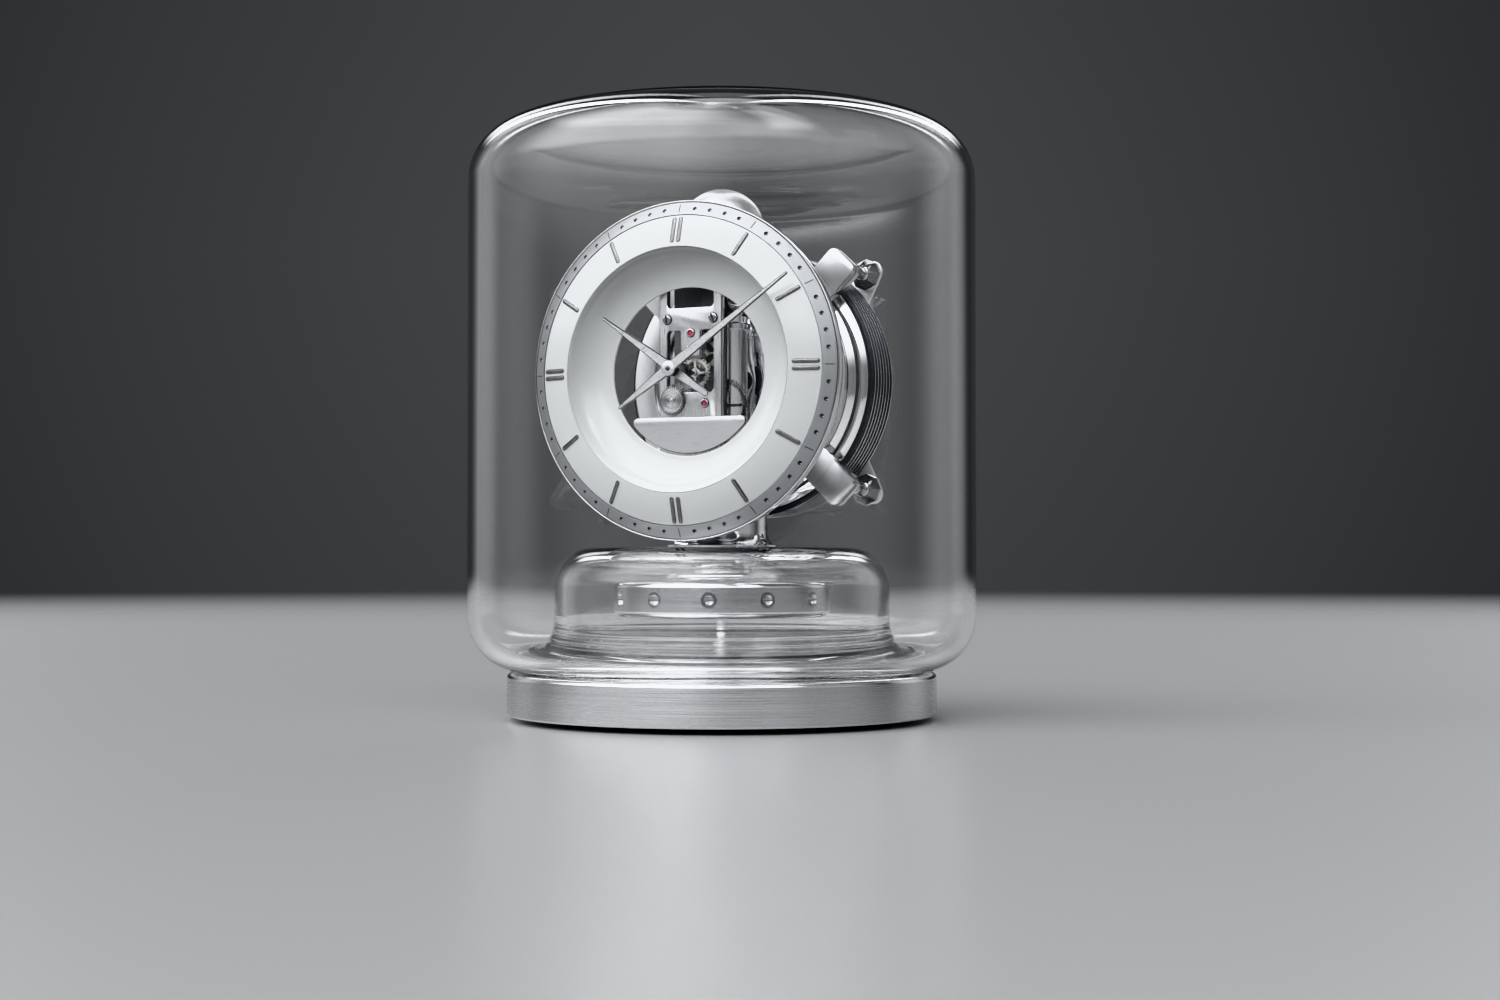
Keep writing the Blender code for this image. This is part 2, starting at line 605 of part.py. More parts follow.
MOTION_CENTRE = clock_point(mesh_distance(CENTRE_TEETH, MOTION_TEETH), MOTION_DIRECTION)
THIRD_CENTRE = clock_point(mesh_distance(CENTRE_TEETH, THIRD_PINION_TEETH), THIRD_DIRECTION)
ESCAPE_CENTRE = clock_point(mesh_distance(THIRD_TEETH, ESCAPE_PINION_TEETH),
                            ESCAPE_DIRECTION, THIRD_CENTRE)
GREAT_CENTRE = clock_point(mesh_distance(GREAT_PINION_TEETH, GREAT_TEETH), GREAT_DIRECTION)
PALLET_CENTRE = (ESCAPE_CENTRE[0], ESCAPE_CENTRE[1] + PALLET_RISE)
BACK_PLATE_RIGHT = GREAT_CENTRE[0] + BACK_PLATE_MARGIN
RATCHET_INNER_X = BACK_PLATE_RIGHT + RATCHET_CLEARANCE
BARREL_INNER_X = RATCHET_INNER_X + RATCHET_THICKNESS + GAP
BARREL_OUTER_X = BARREL_INNER_X + BARREL_LENGTH
DIAL_ORIGIN = (0, 0, DIAL_Z)
LOWER_BRIDGE_LOW = NECK_TOP + GAP


def toothed(teeth, radius, depth, phase=0.0):
    """Outline of a wheel with pointed teeth, one tooth tip at the phase angle."""
    points = []
    for i in range(teeth):
        tip = phase + 360 * i / teeth
        points.append((radius + depth, tip))
        points.append((radius - depth, tip + 180 / teeth))
    return [(r * math.cos(math.radians(a)), r * math.sin(math.radians(a))) for r, a in points]


def wheel_bm(teeth, phase, low, bore=0.0, radius=None, depth=TOOTH_HALF_DEPTH,
             thickness=WHEEL_THICKNESS):
    outline = toothed(teeth, radius or pitch_radius(teeth), depth, phase)
    holes = [circle((0, 0), bore, SMALL_SIDES)] if bore else []
    return sheet_bm(outline, holes, low, low + thickness, "XZ")


def at_dial(point):
    """World place of a point given in dial coordinates."""
    return (point[0], 0, DIAL_Z + point[1])


def union_of(name, parts, look, origin=(0, 0, 0)):
    """One solid from overlapping shapes, joined by Boolean unions."""
    body = place(name, to_mesh(parts[0]), origin, look)
    for index, part in enumerate(parts[1:]):
        combine(body, cutter(f"{name}_add_{index + 1}", part, origin), "UNION")
    return body


# Base

def make_base():
    low = FOOT_HEIGHT
    shelf = low + COVER_THICKNESS + GAP
    rim_low = BASE_TOP - BASE_RIM_HEIGHT
    rim = [(BASE_RADIUS - BASE_RIM_WIDTH + BASE_RIM_WIDTH * math.cos(a),
            rim_low + BASE_RIM_HEIGHT * math.sin(a))
           for a in quarter_turn(CORNER_STEPS)]
    profile = [(COVER_RADIUS + GAP, low), (BASE_RADIUS - BASE_EDGE_CHAMFER, low),
               (BASE_RADIUS, low + BASE_EDGE_CHAMFER)] + rim
    profile += [(BASE_BORE, BASE_TOP), (BASE_BORE, shelf), (COVER_RADIUS + GAP, shelf)]
    turned("base_ring", profile, "brushed_steel", sides=LARGE_SIDES)

    plate_top = BASE_TOP + FLOOR_PLATE_RISE
    plate_radius = BASE_BORE - GAP
    bore = LOCK_PIN_RADIUS + GAP
    plate = turned("floor_plate", [
        (bore, shelf), (plate_radius, shelf), (plate_radius, plate_top - FLOOR_PLATE_CHAMFER),
        (plate_radius - FLOOR_PLATE_CHAMFER, plate_top), (bore, plate_top)],
        "satin_plate", sides=LARGE_SIDES)
    cover = turned("base_cover", [
        (bore, low), (COVER_RADIUS, low), (COVER_RADIUS, low + COVER_THICKNESS),
        (bore, low + COVER_THICKNESS)], "satin_plate", sides=LARGE_SIDES)

    stem_top = low + FOOT_STEM_LENGTH
    for index, degrees in enumerate(FOOT_ANGLES):
        spot = (FOOT_CIRCLE * math.cos(math.radians(degrees)),
                FOOT_CIRCLE * math.sin(math.radians(degrees)), 0)
        name = f"levelling_foot_{index + 1}"
        turned(name, [
            (0, 0), (FOOT_PAD_RADIUS - BASE_EDGE_CHAMFER, 0), (FOOT_PAD_RADIUS, BASE_EDGE_CHAMFER),
            (FOOT_PAD_RADIUS, low - GAP), (FOOT_STEM_RADIUS, low - GAP),
            (FOOT_STEM_RADIUS, stem_top), (0, stem_top)], "rubber", spot, sides=SMALL_SIDES)
        hole = rod_bm(FOOT_STEM_RADIUS + GAP, low - OVERRUN, stem_top + GAP, "Z")
        drill = cutter(name + "_hole", hole, spot)
        combine(cover, drill, "DIFFERENCE")
        combine(plate, drill, "DIFFERENCE")


def make_lock():
    low = LOCK_FLOOR_CLEARANCE
    high = low + LOCK_LEVER_THICKNESS
    half = LOCK_LEVER_WIDTH / 2
    start = math.degrees(math.asin(half / LOCK_HUB_RADIUS))
    outline = arc((0, 0), LOCK_HUB_RADIUS, 90 + start, 450 - start, SMALL_SIDES)
    outline += arc((0, LOCK_LEVER_REACH - half), half, 0, 180, 2 * CORNER_STEPS)
    sheet("lock_lever", outline, low, high, "polished_steel",
          holes=[circle((0, 0), LOCK_PIN_RADIUS + GAP)], plane="XY")
    plate_top = BASE_TOP + FLOOR_PLATE_RISE
    head_low = plate_top + GAP
    pin = LOCK_PIN_RADIUS
    turned("lock_plunger", [
        (0, low), (pin, low), (pin, head_low), (LOCK_PIN_HEAD_RADIUS, head_low),
        (LOCK_PIN_HEAD_RADIUS, head_low + LOCK_PIN_HEAD_HEIGHT),
        (pin, head_low + LOCK_PIN_HEAD_HEIGHT), (pin, LOCK_PIN_TOP), (0, LOCK_PIN_TOP)],
        "polished_steel", sides=SMALL_SIDES)


# Glass

def make_dome():
    low = BASE_TOP + GAP
    inner_fillet = DOME_FILLET - DOME_WALL
    top_centre = (DOME_RADIUS - DOME_FILLET, DOME_TOP - DOME_FILLET)
    low_centre = (DOME_RADIUS - DOME_FILLET, low + DOME_FILLET)
    outside = arc(low_centre, DOME_FILLET, -90, 0, FILLET_STEPS)
    outside += arc(top_centre, DOME_FILLET, 0, 90, FILLET_STEPS)
    inside = arc(top_centre, inner_fillet, 90, 0, CORNER_STEPS)
    inside += arc(low_centre, inner_fillet, 0, -90, CORNER_STEPS)
    profile = [(0, DOME_TOP)] + outside[::-1] + [(DOME_LIP_INNER, low)]
    profile += [(DOME_LIP_INNER, low + DOME_WALL)] + inside[::-1] + [(0, DOME_TOP - DOME_WALL)]
    turned("glass_dome", profile, "glass", sides=LARGE_SIDES)


def make_bell():
    """Glass pedestal: a bell with a round shoulder, a straight wall and a flared skirt."""
    low = BELL_BOTTOM
    flare = [(BELL_RADIUS + BELL_FLARE_WIDTH * (1 - math.cos(a)),
              BELL_FLARE_TOP - BELL_FLARE_HEIGHT * math.sin(a))
             for a in quarter_turn(FILLET_STEPS)]
    inner = BELL_RADIUS - BELL_WALL
    skirt = BELL_RADIUS + BELL_FLARE_WIDTH
    inner_skirt = skirt - BELL_SKIRT_WIDTH
    inner_flare = [(inner + (inner_skirt - inner) * (1 - math.cos(a)),
                    BELL_FLARE_TOP - BELL_WALL - (BELL_FLARE_HEIGHT - BELL_WALL) * math.sin(a))
                   for a in quarter_turn(CORNER_STEPS)]
    shoulder = (BELL_RADIUS - BELL_CORNER, BELL_TOP - BELL_CORNER)
    profile = [(BELL_HOLE, BELL_TOP)] + arc(shoulder, BELL_CORNER, 90, 0, FILLET_STEPS) + flare
    profile += [(skirt, low), (inner_skirt, low)] + inner_flare[::-1]
    profile += arc(shoulder, BELL_CORNER - BELL_WALL, 0, 90, CORNER_STEPS)
    profile += [(BELL_HOLE, BELL_TOP - BELL_WALL)]
    turned("glass_pedestal", profile, "glass", sides=LARGE_SIDES)


# Column, suspension and balance

def make_column():
    seat = BELL_TOP + GAP
    flare = [(NECK_RADIUS + (FOOT_FLANGE_RADIUS - NECK_RADIUS) * (1 - math.sin(a)),
              seat + BASE_EDGE_CHAMFER + NECK_FLARE_HEIGHT * (1 - math.cos(a)))
             for a in quarter_turn(FILLET_STEPS)]
    spigot = BELL_HOLE - GAP
    socket = TUBE_RADIUS + GAP
    turned("column_foot", [
        (SPIGOT_BORE, SPIGOT_BOTTOM), (spigot, SPIGOT_BOTTOM), (spigot, seat),
        (FOOT_FLANGE_RADIUS, seat)] + flare + [
        (NECK_RADIUS, NECK_TOP), (socket, NECK_TOP), (socket, SPIGOT_FLOOR),
        (SPIGOT_BORE, SPIGOT_FLOOR)], "polished_steel")
    ceiling = BELL_TOP - BELL_WALL
    edge = [(CLAMP_RADIUS * math.cos(math.radians(a)), CLAMP_MID + CLAMP_HALF * math.sin(math.radians(a)))
            for a in CLAMP_EDGE_ANGLES]
    turned("pedestal_clamp", [
        (BELL_HOLE, CLAMP_MID - CLAMP_HALF)] + edge + [
        (CLAMP_COLLAR_RADIUS, CLAMP_MID + CLAMP_HALF), (CLAMP_COLLAR_RADIUS, ceiling - GAP),
        (BELL_HOLE, ceiling - GAP)], "polished_steel")
    tube_inner = TUBE_RADIUS - TUBE_WALL
    band = TUBE_RADIUS + TUBE_BAND_RISE
    turned("suspension_tube", [
        (tube_inner, SPIGOT_FLOOR + GAP), (TUBE_RADIUS, SPIGOT_FLOOR + GAP),
        (TUBE_RADIUS, TUBE_BAND_LOW), (band, TUBE_BAND_LOW), (band, TUBE_BAND_HIGH),
        (TUBE_RADIUS, TUBE_BAND_HIGH), (TUBE_RADIUS, TUBE_TOP), (tube_inner, TUBE_TOP)],
        "polished_steel")


def make_cap():
    """Turned cap on the tube, with the collet that holds the torsion wire."""
    shoulder = CAP_TOP - CAP_DOME_HEIGHT
    low = UPPER_BRIDGE_LOW + BRIDGE_HEIGHT + GAP
    outside = [(CAP_RADIUS * math.sin(a), shoulder + CAP_DOME_HEIGHT * math.cos(a))
               for a in quarter_turn(CAP_STEPS)]
    inner = TUBE_RADIUS + GAP
    turned("top_cap", outside + [
        (CAP_RADIUS, low), (inner, low), (inner, shoulder), (COLLET_RADIUS + GAP, shoulder),
        (COLLET_RADIUS + GAP, CAP_TOP - 2 * CAP_WALL), (0, CAP_TOP - 2 * CAP_WALL)],
        "polished_steel")
    collet_top = CAP_TOP - 2 * CAP_WALL - GAP
    turned("wire_collet", [
        (WIRE_RADIUS + GAP, collet_top - COLLET_HEIGHT), (COLLET_RADIUS, collet_top - COLLET_HEIGHT),
        (COLLET_RADIUS, collet_top), (WIRE_RADIUS + GAP, collet_top)], "brass",
        sides=SMALL_SIDES)
    rod("suspension_wire", WIRE_RADIUS, WIRE_BOTTOM, collet_top - COLLET_HEIGHT / 2,
        "polished_steel", axis="Z")


def make_balance():
    edge = BALANCE_EDGE
    low = BALANCE_LOW
    high = BALANCE_HIGH
    outer = arc((BALANCE_RADIUS - edge, low + edge), edge, -90, 0, EDGE_STEPS)
    outer += arc((BALANCE_RADIUS - edge, high - edge), edge, 0, 90, EDGE_STEPS)
    inner = [(BALANCE_INNER, high - edge), (BALANCE_INNER, low + edge)]
    ring = turned("balance_ring", outer + [(BALANCE_INNER + edge, high)] + inner
                  + [(BALANCE_INNER + edge, low)], "polished_steel", sides=LARGE_SIDES)
    cups = bmesh.new()
    for index in range(CUP_COUNT):
        turn = math.radians(CUP_PHASE + 360 * index / CUP_COUNT)
        spot = Vector((math.sin(turn), -math.cos(turn), 0)) * (BALANCE_RADIUS + CUP_SET_OUT)
        spot.z = (low + high) / 2
        bmesh.ops.create_uvsphere(cups, u_segments=CUP_SIDES, v_segments=CUP_RINGS,
                                  radius=CUP_RADIUS, matrix=Matrix.Translation(spot))
    cut(ring, "balance_cups", cups)

    mid = (low + high) / 2
    spoke_low = mid - SPOKE_THICKNESS / 2
    stem_low = low + edge
    reach = BALANCE_INNER - GAP
    outline = []
    half = SPOKE_WIDTH / 2
    root = math.degrees(math.asin(half / HUB_RADIUS))
    for index in range(SPOKE_COUNT):
        turn = 360 * index / SPOKE_COUNT
        next_turn = turn + 360 / SPOKE_COUNT
        a = math.radians(turn)
        for side in (-half, half):
            length = math.sqrt(reach ** 2 - side ** 2)
            outline.append((length * math.cos(a) - side * math.sin(a),
                            length * math.sin(a) + side * math.cos(a)))
        outline += arc((0, 0), HUB_RADIUS, turn + root, next_turn - root, CORNER_STEPS)
    sheet("balance_spokes", outline, spoke_low, spoke_low + SPOKE_THICKNESS, "brushed_steel",
          holes=[circle((0, 0), STEM_RADIUS + GAP)], plane="XY")
    flange = spoke_low - GAP
    turned("balance_stem", [
        (0, stem_low), (HUB_RADIUS, stem_low), (HUB_RADIUS, flange), (STEM_RADIUS, flange),
        (STEM_RADIUS, WIRE_BOTTOM - GAP), (0, WIRE_BOTTOM - GAP)], "polished_steel",
        sides=SMALL_SIDES)


# Dial

def bowl_point(share):
    """Front of the bowl from the crest (0) to the opening (1), steep first, then flat."""
    angle = math.radians(90 * share)
    return (OPENING_RADIUS + (CREST_RADIUS - OPENING_RADIUS) * math.cos(angle),
            CREST_Y + (OPENING_Y - CREST_Y) * math.sin(angle))


def chapter_y(radius):
    share = (CHAPTER_OUTER - radius) / (CHAPTER_OUTER - CREST_RADIUS)
    return CHAPTER_OUTER_Y + (CREST_Y - CHAPTER_OUTER_Y) * share


def make_dial():
    seat = BEZEL_SEAT - GAP
    crest_back = CREST_Y + DIAL_SHEET
    chapter = turned_bm([
        (CHAPTER_OUTER, seat), (CHAPTER_OUTER, CHAPTER_OUTER_Y), (CREST_RADIUS, CREST_Y),
        (CREST_RADIUS, crest_back), (BEZEL_INNER, chapter_y(BEZEL_INNER) + DIAL_SHEET),
        (BEZEL_INNER, seat)], "Y", LARGE_SIDES)
    batons = []
    for hour in range(12):
        spacing = MARKER_PAIR_SPACING / 2
        offsets = (-spacing, spacing) if hour % 3 == 0 else (0,)
        batons += [marker_bm(offset, 30 * hour) for offset in offsets]
    union_of("chapter_ring", [chapter] + batons, "lacquer", DIAL_ORIGIN)

    bowl = [bowl_point(i / FILLET_STEPS) for i in range(FILLET_STEPS + 1)]
    outer = BEZEL_INNER - GAP
    under = chapter_y(outer) + DIAL_SHEET + GAP
    top = (CREST_RADIUS - GAP, CREST_Y)
    tuck = (CREST_RADIUS - GAP, crest_back + GAP)
    back = [(r + DIAL_SHEET, y + DIAL_SHEET) for r, y in bowl[1:-1]]
    turned("dial_bowl", [top] + bowl[1:] + [(OPENING_RADIUS, OPENING_Y + DIAL_SHEET)]
           + back[::-1] + [(outer, under + DIAL_SHEET), (outer, under), tuck],
           "lacquer", DIAL_ORIGIN, "Y", LARGE_SIDES)

    lip_inner = BEZEL_RADIUS - BEZEL_LIP
    turned("bezel", [
        (BEZEL_INNER, BEZEL_BACK), (BEZEL_RADIUS - BEZEL_ROUND, BEZEL_BACK),
        (BEZEL_RADIUS, BEZEL_BACK - BEZEL_ROUND), (BEZEL_RADIUS, BEZEL_FRONT + BEZEL_ROUND),
        (lip_inner, BEZEL_FRONT), (lip_inner, BEZEL_SEAT), (BEZEL_INNER, BEZEL_SEAT)],
        "polished_steel", DIAL_ORIGIN, "Y", LARGE_SIDES)
    ring_outer = lip_inner - GAP
    turned("minute_ring", [
        (MINUTE_RING_INNER, seat), (MINUTE_RING_INNER, MINUTE_RING_FRONT),
        (ring_outer, BEZEL_FRONT), (ring_outer, seat)], "satin_plate",
        DIAL_ORIGIN, "Y", LARGE_SIDES)
    frame_front = BEZEL_BACK + GAP
    turned("dial_frame", [
        (DIAL_FRAME_INNER, frame_front), (DIAL_FRAME_OUTER, frame_front),
        (DIAL_FRAME_OUTER, PLATE_FRONT - GAP), (DIAL_FRAME_INNER, PLATE_FRONT - GAP)],
        "brushed_steel", DIAL_ORIGIN, "Y", LARGE_SIDES)


def marker_bm(offset, degrees):
    """One raised baton along the slope of the chapter ring, sunk so that it is one with it."""
    half = MARKER_WIDTH / 2
    outline = arc((offset, MARKER_OUTER - half), half, 0, 180, CORNER_STEPS)
    outline += arc((offset, MARKER_INNER + half), half, 180, 360, CORNER_STEPS)
    bm = sheet_bm(outline, (), -MARKER_THICKNESS, MARKER_SINK, "XZ")
    slope = math.atan2(chapter_y(MARKER_OUTER) - chapter_y(MARKER_INNER),
                       MARKER_OUTER - MARKER_INNER)
    middle = (MARKER_OUTER + MARKER_INNER) / 2
    bmesh.ops.translate(bm, verts=bm.verts, vec=(0, 0, -middle))
    bmesh.ops.transform(bm, verts=bm.verts, matrix=Matrix.Rotation(-slope, 4, "X"))
    bmesh.ops.translate(bm, verts=bm.verts, vec=(0, chapter_y(middle), middle))
    bmesh.ops.transform(bm, verts=bm.verts,
                        matrix=Matrix.Rotation(math.radians(degrees), 4, "Y"))
    return bm


# Hands and wheel train

def hand_outline(tip, tail, degrees):
    """Long tapered hand through a round hub, with small round ends."""
    half = HAND_WIDTH / 2
    end = HAND_TIP_WIDTH / 2
    root = math.degrees(math.asin(half / HAND_HUB_RADIUS))
    flank = HAND_FLANK_ANGLE
    outline = arc((0, tip - end), end, flank, 180 - flank, FILLET_STEPS)
    outline += arc((0, 0), HAND_HUB_RADIUS, 90 + root, 270 - root, FILLET_STEPS + 1)
    outline += arc((0, end - tail), end, 180 + flank, 360 - flank, FILLET_STEPS)
    outline += arc((0, 0), HAND_HUB_RADIUS, 270 + root, 450 - root, FILLET_STEPS + 1)
    turn = math.radians(-degrees)
    return [(u * math.cos(turn) - v * math.sin(turn), u * math.sin(turn) + v * math.cos(turn))
            for u, v in outline]


def hour_hand_angle():
    return 30 * HAND_HOUR + MINUTE_HAND_ANGLE / 12


def make_hands():
    bore = ARBOR_RADIUS + GAP
    sheet("minute_hand", hand_outline(MINUTE_HAND_TIP, MINUTE_HAND_TAIL, MINUTE_HAND_ANGLE),
          MINUTE_HAND_FRONT, MINUTE_HAND_FRONT + HAND_THICKNESS, "polished_steel",
          holes=[circle((0, 0), bore)], origin=DIAL_ORIGIN)
    pipe_inner = ARBOR_RADIUS + RUNNING
    pipe_outer = pipe_inner + PIPE_WALL
    hour_back = HOUR_HAND_FRONT + HAND_THICKNESS
    hand = sheet_bm(hand_outline(HOUR_HAND_TIP, HOUR_HAND_TAIL, hour_hand_angle()),
                    [circle((0, 0), (pipe_inner + pipe_outer) / 2)],
                    HOUR_HAND_FRONT, hour_back, "XZ")
    pipe_front = HOUR_HAND_FRONT - PIPE_PROUD
    pipe = turned_bm([(pipe_inner, pipe_front), (pipe_outer, pipe_front),
                      (pipe_outer, PIPE_BACK), (pipe_inner, PIPE_BACK)], "Y", SMALL_SIDES)
    union_of("hour_hand", [hand, pipe], "polished_steel", DIAL_ORIGIN)


def arbor_bm(low, high, radius=ARBOR_RADIUS):
    return rod_bm(radius, low, high, "Y")


def make_train():
    bore = ARBOR_RADIUS + GAP
    pinion_low = GREAT_WHEEL_Y
    arbor_back = pinion_low + WHEEL_THICKNESS + GAP
    union_of("minute_arbor", [
        wheel_bm(GREAT_PINION_TEETH, 0, pinion_low),
        arbor_bm(MINUTE_HAND_FRONT, arbor_back)], "polished_steel", DIAL_ORIGIN)
    place("cannon_pinion", to_mesh(wheel_bm(
        CANNON_LEAVES, 0, CANNON_FRONT, bore, CANNON_RADIUS - TOOTH_HALF_DEPTH,
        thickness=CANNON_LENGTH)), DIAL_ORIGIN, "dark_steel")
    place("centre_wheel", to_mesh(wheel_bm(CENTRE_TEETH, 0, CENTRE_WHEEL_Y, bore)),
          DIAL_ORIGIN, "brass")

    motion_phase = meshed_phase(CENTRE_TEETH, 0, MOTION_TEETH, outline_angle(MOTION_DIRECTION))
    disc_low = PLATE_FRONT - GAP - WHEEL_THICKNESS
    union_of("motion_wheel", [
        wheel_bm(MOTION_TEETH, motion_phase, CENTRE_WHEEL_Y),
        wheel_bm(MOTION_DISC_TEETH, 0, disc_low, radius=MOTION_DISC_RADIUS - MOTION_DISC_DEPTH,
                 depth=MOTION_DISC_DEPTH),
        arbor_bm(disc_low - GAP, BACK_PLATE_FRONT - GAP)], "brass", at_dial(MOTION_CENTRE))

    third_phase = meshed_phase(CENTRE_TEETH, 0, THIRD_PINION_TEETH,
                               outline_angle(THIRD_DIRECTION))
    union_of("third_wheel", [
        wheel_bm(THIRD_TEETH, third_phase, THIRD_WHEEL_Y),
        wheel_bm(THIRD_PINION_TEETH, third_phase, CENTRE_WHEEL_Y),
        arbor_bm(PLATE_BACK + GAP, BACK_PLATE_FRONT - GAP)], "brass", at_dial(THIRD_CENTRE))

    escape_phase = meshed_phase(THIRD_TEETH, third_phase, ESCAPE_PINION_TEETH,
                                outline_angle(ESCAPE_DIRECTION))
    union_of("escape_wheel", [
        wheel_bm(ESCAPE_TEETH, 90, ESCAPE_WHEEL_Y, radius=ESCAPE_RADIUS - ESCAPE_TOOTH / 2,
                 depth=ESCAPE_TOOTH / 2),
        wheel_bm(ESCAPE_PINION_TEETH, escape_phase, THIRD_WHEEL_Y),
        arbor_bm(PLATE_BACK + GAP, BACK_PLATE_FRONT - GAP, PIVOT_RADIUS)],
        "brass", at_dial(ESCAPE_CENTRE))

    great_phase = meshed_phase(GREAT_PINION_TEETH, 0, GREAT_TEETH,
                               outline_angle(GREAT_DIRECTION))
    rim_inner = pitch_radius(GREAT_TEETH) - TOOTH_HALF_DEPTH - GREAT_RIM
    great = sheet_bm(toothed(GREAT_TEETH, pitch_radius(GREAT_TEETH), TOOTH_HALF_DEPTH,
                             great_phase), spoke_windows(rim_inner), GREAT_WHEEL_Y,
                     GREAT_WHEEL_Y + WHEEL_THICKNESS, "XZ")
    arbor = arbor_bm(PLATE_BACK + GAP, GREAT_WHEEL_Y + WHEEL_THICKNESS / 2)
    union_of("great_wheel", [great, arbor], "brass", at_dial(GREAT_CENTRE))


def spoke_windows(rim_inner):
    """Openings between the great wheel's spokes."""
    windows = []
    half = GREAT_SPOKE_WIDTH / 2
    outer_root = math.degrees(math.asin(half / rim_inner))
    inner_root = math.degrees(math.asin(half / GREAT_HUB))
    step = 360 / GREAT_SPOKES
    for index in range(GREAT_SPOKES):
        turn = step * index
        window = arc((0, 0), rim_inner, turn + outer_root, turn + step - outer_root,
                     FILLET_STEPS + 1)
        windows.append(window + arc((0, 0), GREAT_HUB, turn + step - inner_root,
                                    turn + inner_root, EDGE_STEPS))
    return windows


def make_pallets():
    """Anchor with two arms that straddles the top of the escape wheel."""
    arm = PALLET_ARM
    span = PALLET_SPAN
    outline = [(-span, -PALLET_DROP), (-span + arm, -PALLET_DROP), (-arm, -arm), (arm, -arm),
               (span - arm, -PALLET_DROP), (span, -PALLET_DROP), (arm, arm), (-arm, arm)]
    union_of("pallet_lever", [
        sheet_bm(outline, (), ESCAPE_WHEEL_Y, ESCAPE_WHEEL_Y + WHEEL_THICKNESS, "XZ"),
        arbor_bm(PLATE_BACK + GAP, BACK_PLATE_FRONT - GAP, PIVOT_RADIUS)],
        "polished_steel", at_dial(PALLET_CENTRE))


# Movement plates

def train_window():
    """Window over the wheels, with a tongue that hangs into its top."""
    half = WINDOW_HALF_WIDTH
    corner = WINDOW_CORNER
    tongue = TONGUE_HALF_WIDTH
    high = TRAIN_WINDOW_HIGH
    outline = arc((half - corner, high - corner), corner, 0, 90, CORNER_STEPS)
    outline += [(tongue, high), (tongue, TONGUE_LOW), (-tongue, TONGUE_LOW), (-tongue, high)]
    outline += arc((corner - half, high - corner), corner, 90, 180, CORNER_STEPS)
    outline += arc((corner - half, TRAIN_WINDOW_LOW + corner), corner, 180, 270, CORNER_STEPS)
    outline += arc((half - corner, TRAIN_WINDOW_LOW + corner), corner, 270, 360, CORNER_STEPS)
    return outline


def make_plates():
    half = PLATE_HALF_WIDTH
    reach = PLATE_HALF_HEIGHT
    upper = rounded_box((-WINDOW_HALF_WIDTH, UPPER_WINDOW_LOW),
                        (WINDOW_HALF_WIDTH, UPPER_WINDOW_HIGH), WINDOW_CORNER)
    bore = ARBOR_RADIUS + RUNNING
    sheet("front_plate", rounded_box((-half, -reach), (half, reach), WINDOW_CORNER),
          PLATE_FRONT, PLATE_BACK, "satin_plate",
          holes=[upper, train_window(), circle(MOTION_CENTRE, bore)], origin=DIAL_ORIGIN)
    low = LOWER_BRIDGE_LOW + LOWER_BRIDGE_HEIGHT - BRIDGE_HEIGHT - DIAL_Z
    high = UPPER_BRIDGE_LOW + BRIDGE_HEIGHT - DIAL_Z
    plate = sheet_bm(rounded_box((-half, low), (BACK_PLATE_RIGHT, high), WINDOW_CORNER),
                     [circle((0, 0), bore), circle(GREAT_CENTRE, bore)],
                     BACK_PLATE_FRONT, BACK_PLATE_BACK, "XZ")
    inside = (BACK_PLATE_FRONT + BACK_PLATE_BACK) / 2
    spacing = []
    for x in (PILLAR_RADIUS - half, BACK_PLATE_RIGHT - PILLAR_RADIUS):
        for z in (PILLAR_LOW, PILLAR_HIGH):
            spacing.append(moved(rod_bm(PILLAR_RADIUS, PLATE_BACK + GAP, inside, "Y"),
                                 (x, 0, z)))
    for block_low in (low, high - BRIDGE_HEIGHT):
        spacing.append(box_bm((-half + GAP, PLATE_BACK + GAP, block_low + GAP),
                              (BACK_PLATE_RIGHT - GAP, inside, block_low + BRIDGE_HEIGHT - GAP)))
    union_of("back_plate", [plate] + spacing, "satin_plate", DIAL_ORIGIN)


def make_screws():
    """Slotted screws on the bar and on the tongue of the front plate."""
    front = PLATE_FRONT - GAP
    bar = (UPPER_WINDOW_LOW + TRAIN_WINDOW_HIGH) / 2
    tongue = TONGUE_LOW + SCREW_HEAD_RADIUS + JEWEL_RADIUS / 2
    spots = ((-WINDOW_HALF_WIDTH, bar), (WINDOW_HALF_WIDTH, bar), (0, tongue))
    half = SCREW_SLOT / 2
    reach = SCREW_HEAD_RADIUS + OVERRUN
    for index, (point, degrees) in enumerate(zip(spots, SCREW_TURNS)):
        spot = at_dial(point)
        name = f"plate_screw_{index + 1}"
        head = rod(name, SCREW_HEAD_RADIUS, front - SCREW_HEAD_HEIGHT, front,
                   "polished_steel", spot)
        slot = box_bm((-reach, front - SCREW_HEAD_HEIGHT - OVERRUN, -half),
                      (reach, front - SCREW_HEAD_HEIGHT / 2, half))
        bmesh.ops.transform(slot, verts=slot.verts,
                            matrix=Matrix.Rotation(math.radians(-degrees), 4, "Y"))
        cut(head, name + "_slot", slot, spot)


def make_jewels():
    front = PLATE_FRONT - GAP
    profile = [(0, front - JEWEL_HEIGHT), (JEWEL_RADIUS / 2, front - JEWEL_HEIGHT),
               (JEWEL_RADIUS, front), (0, front)]
    turned("escape_jewel", profile, "ruby", at_dial(ESCAPE_CENTRE), "Y", SMALL_SIDES)
    turned("great_wheel_jewel", profile, "ruby", at_dial(GREAT_CENTRE), "Y", SMALL_SIDES)


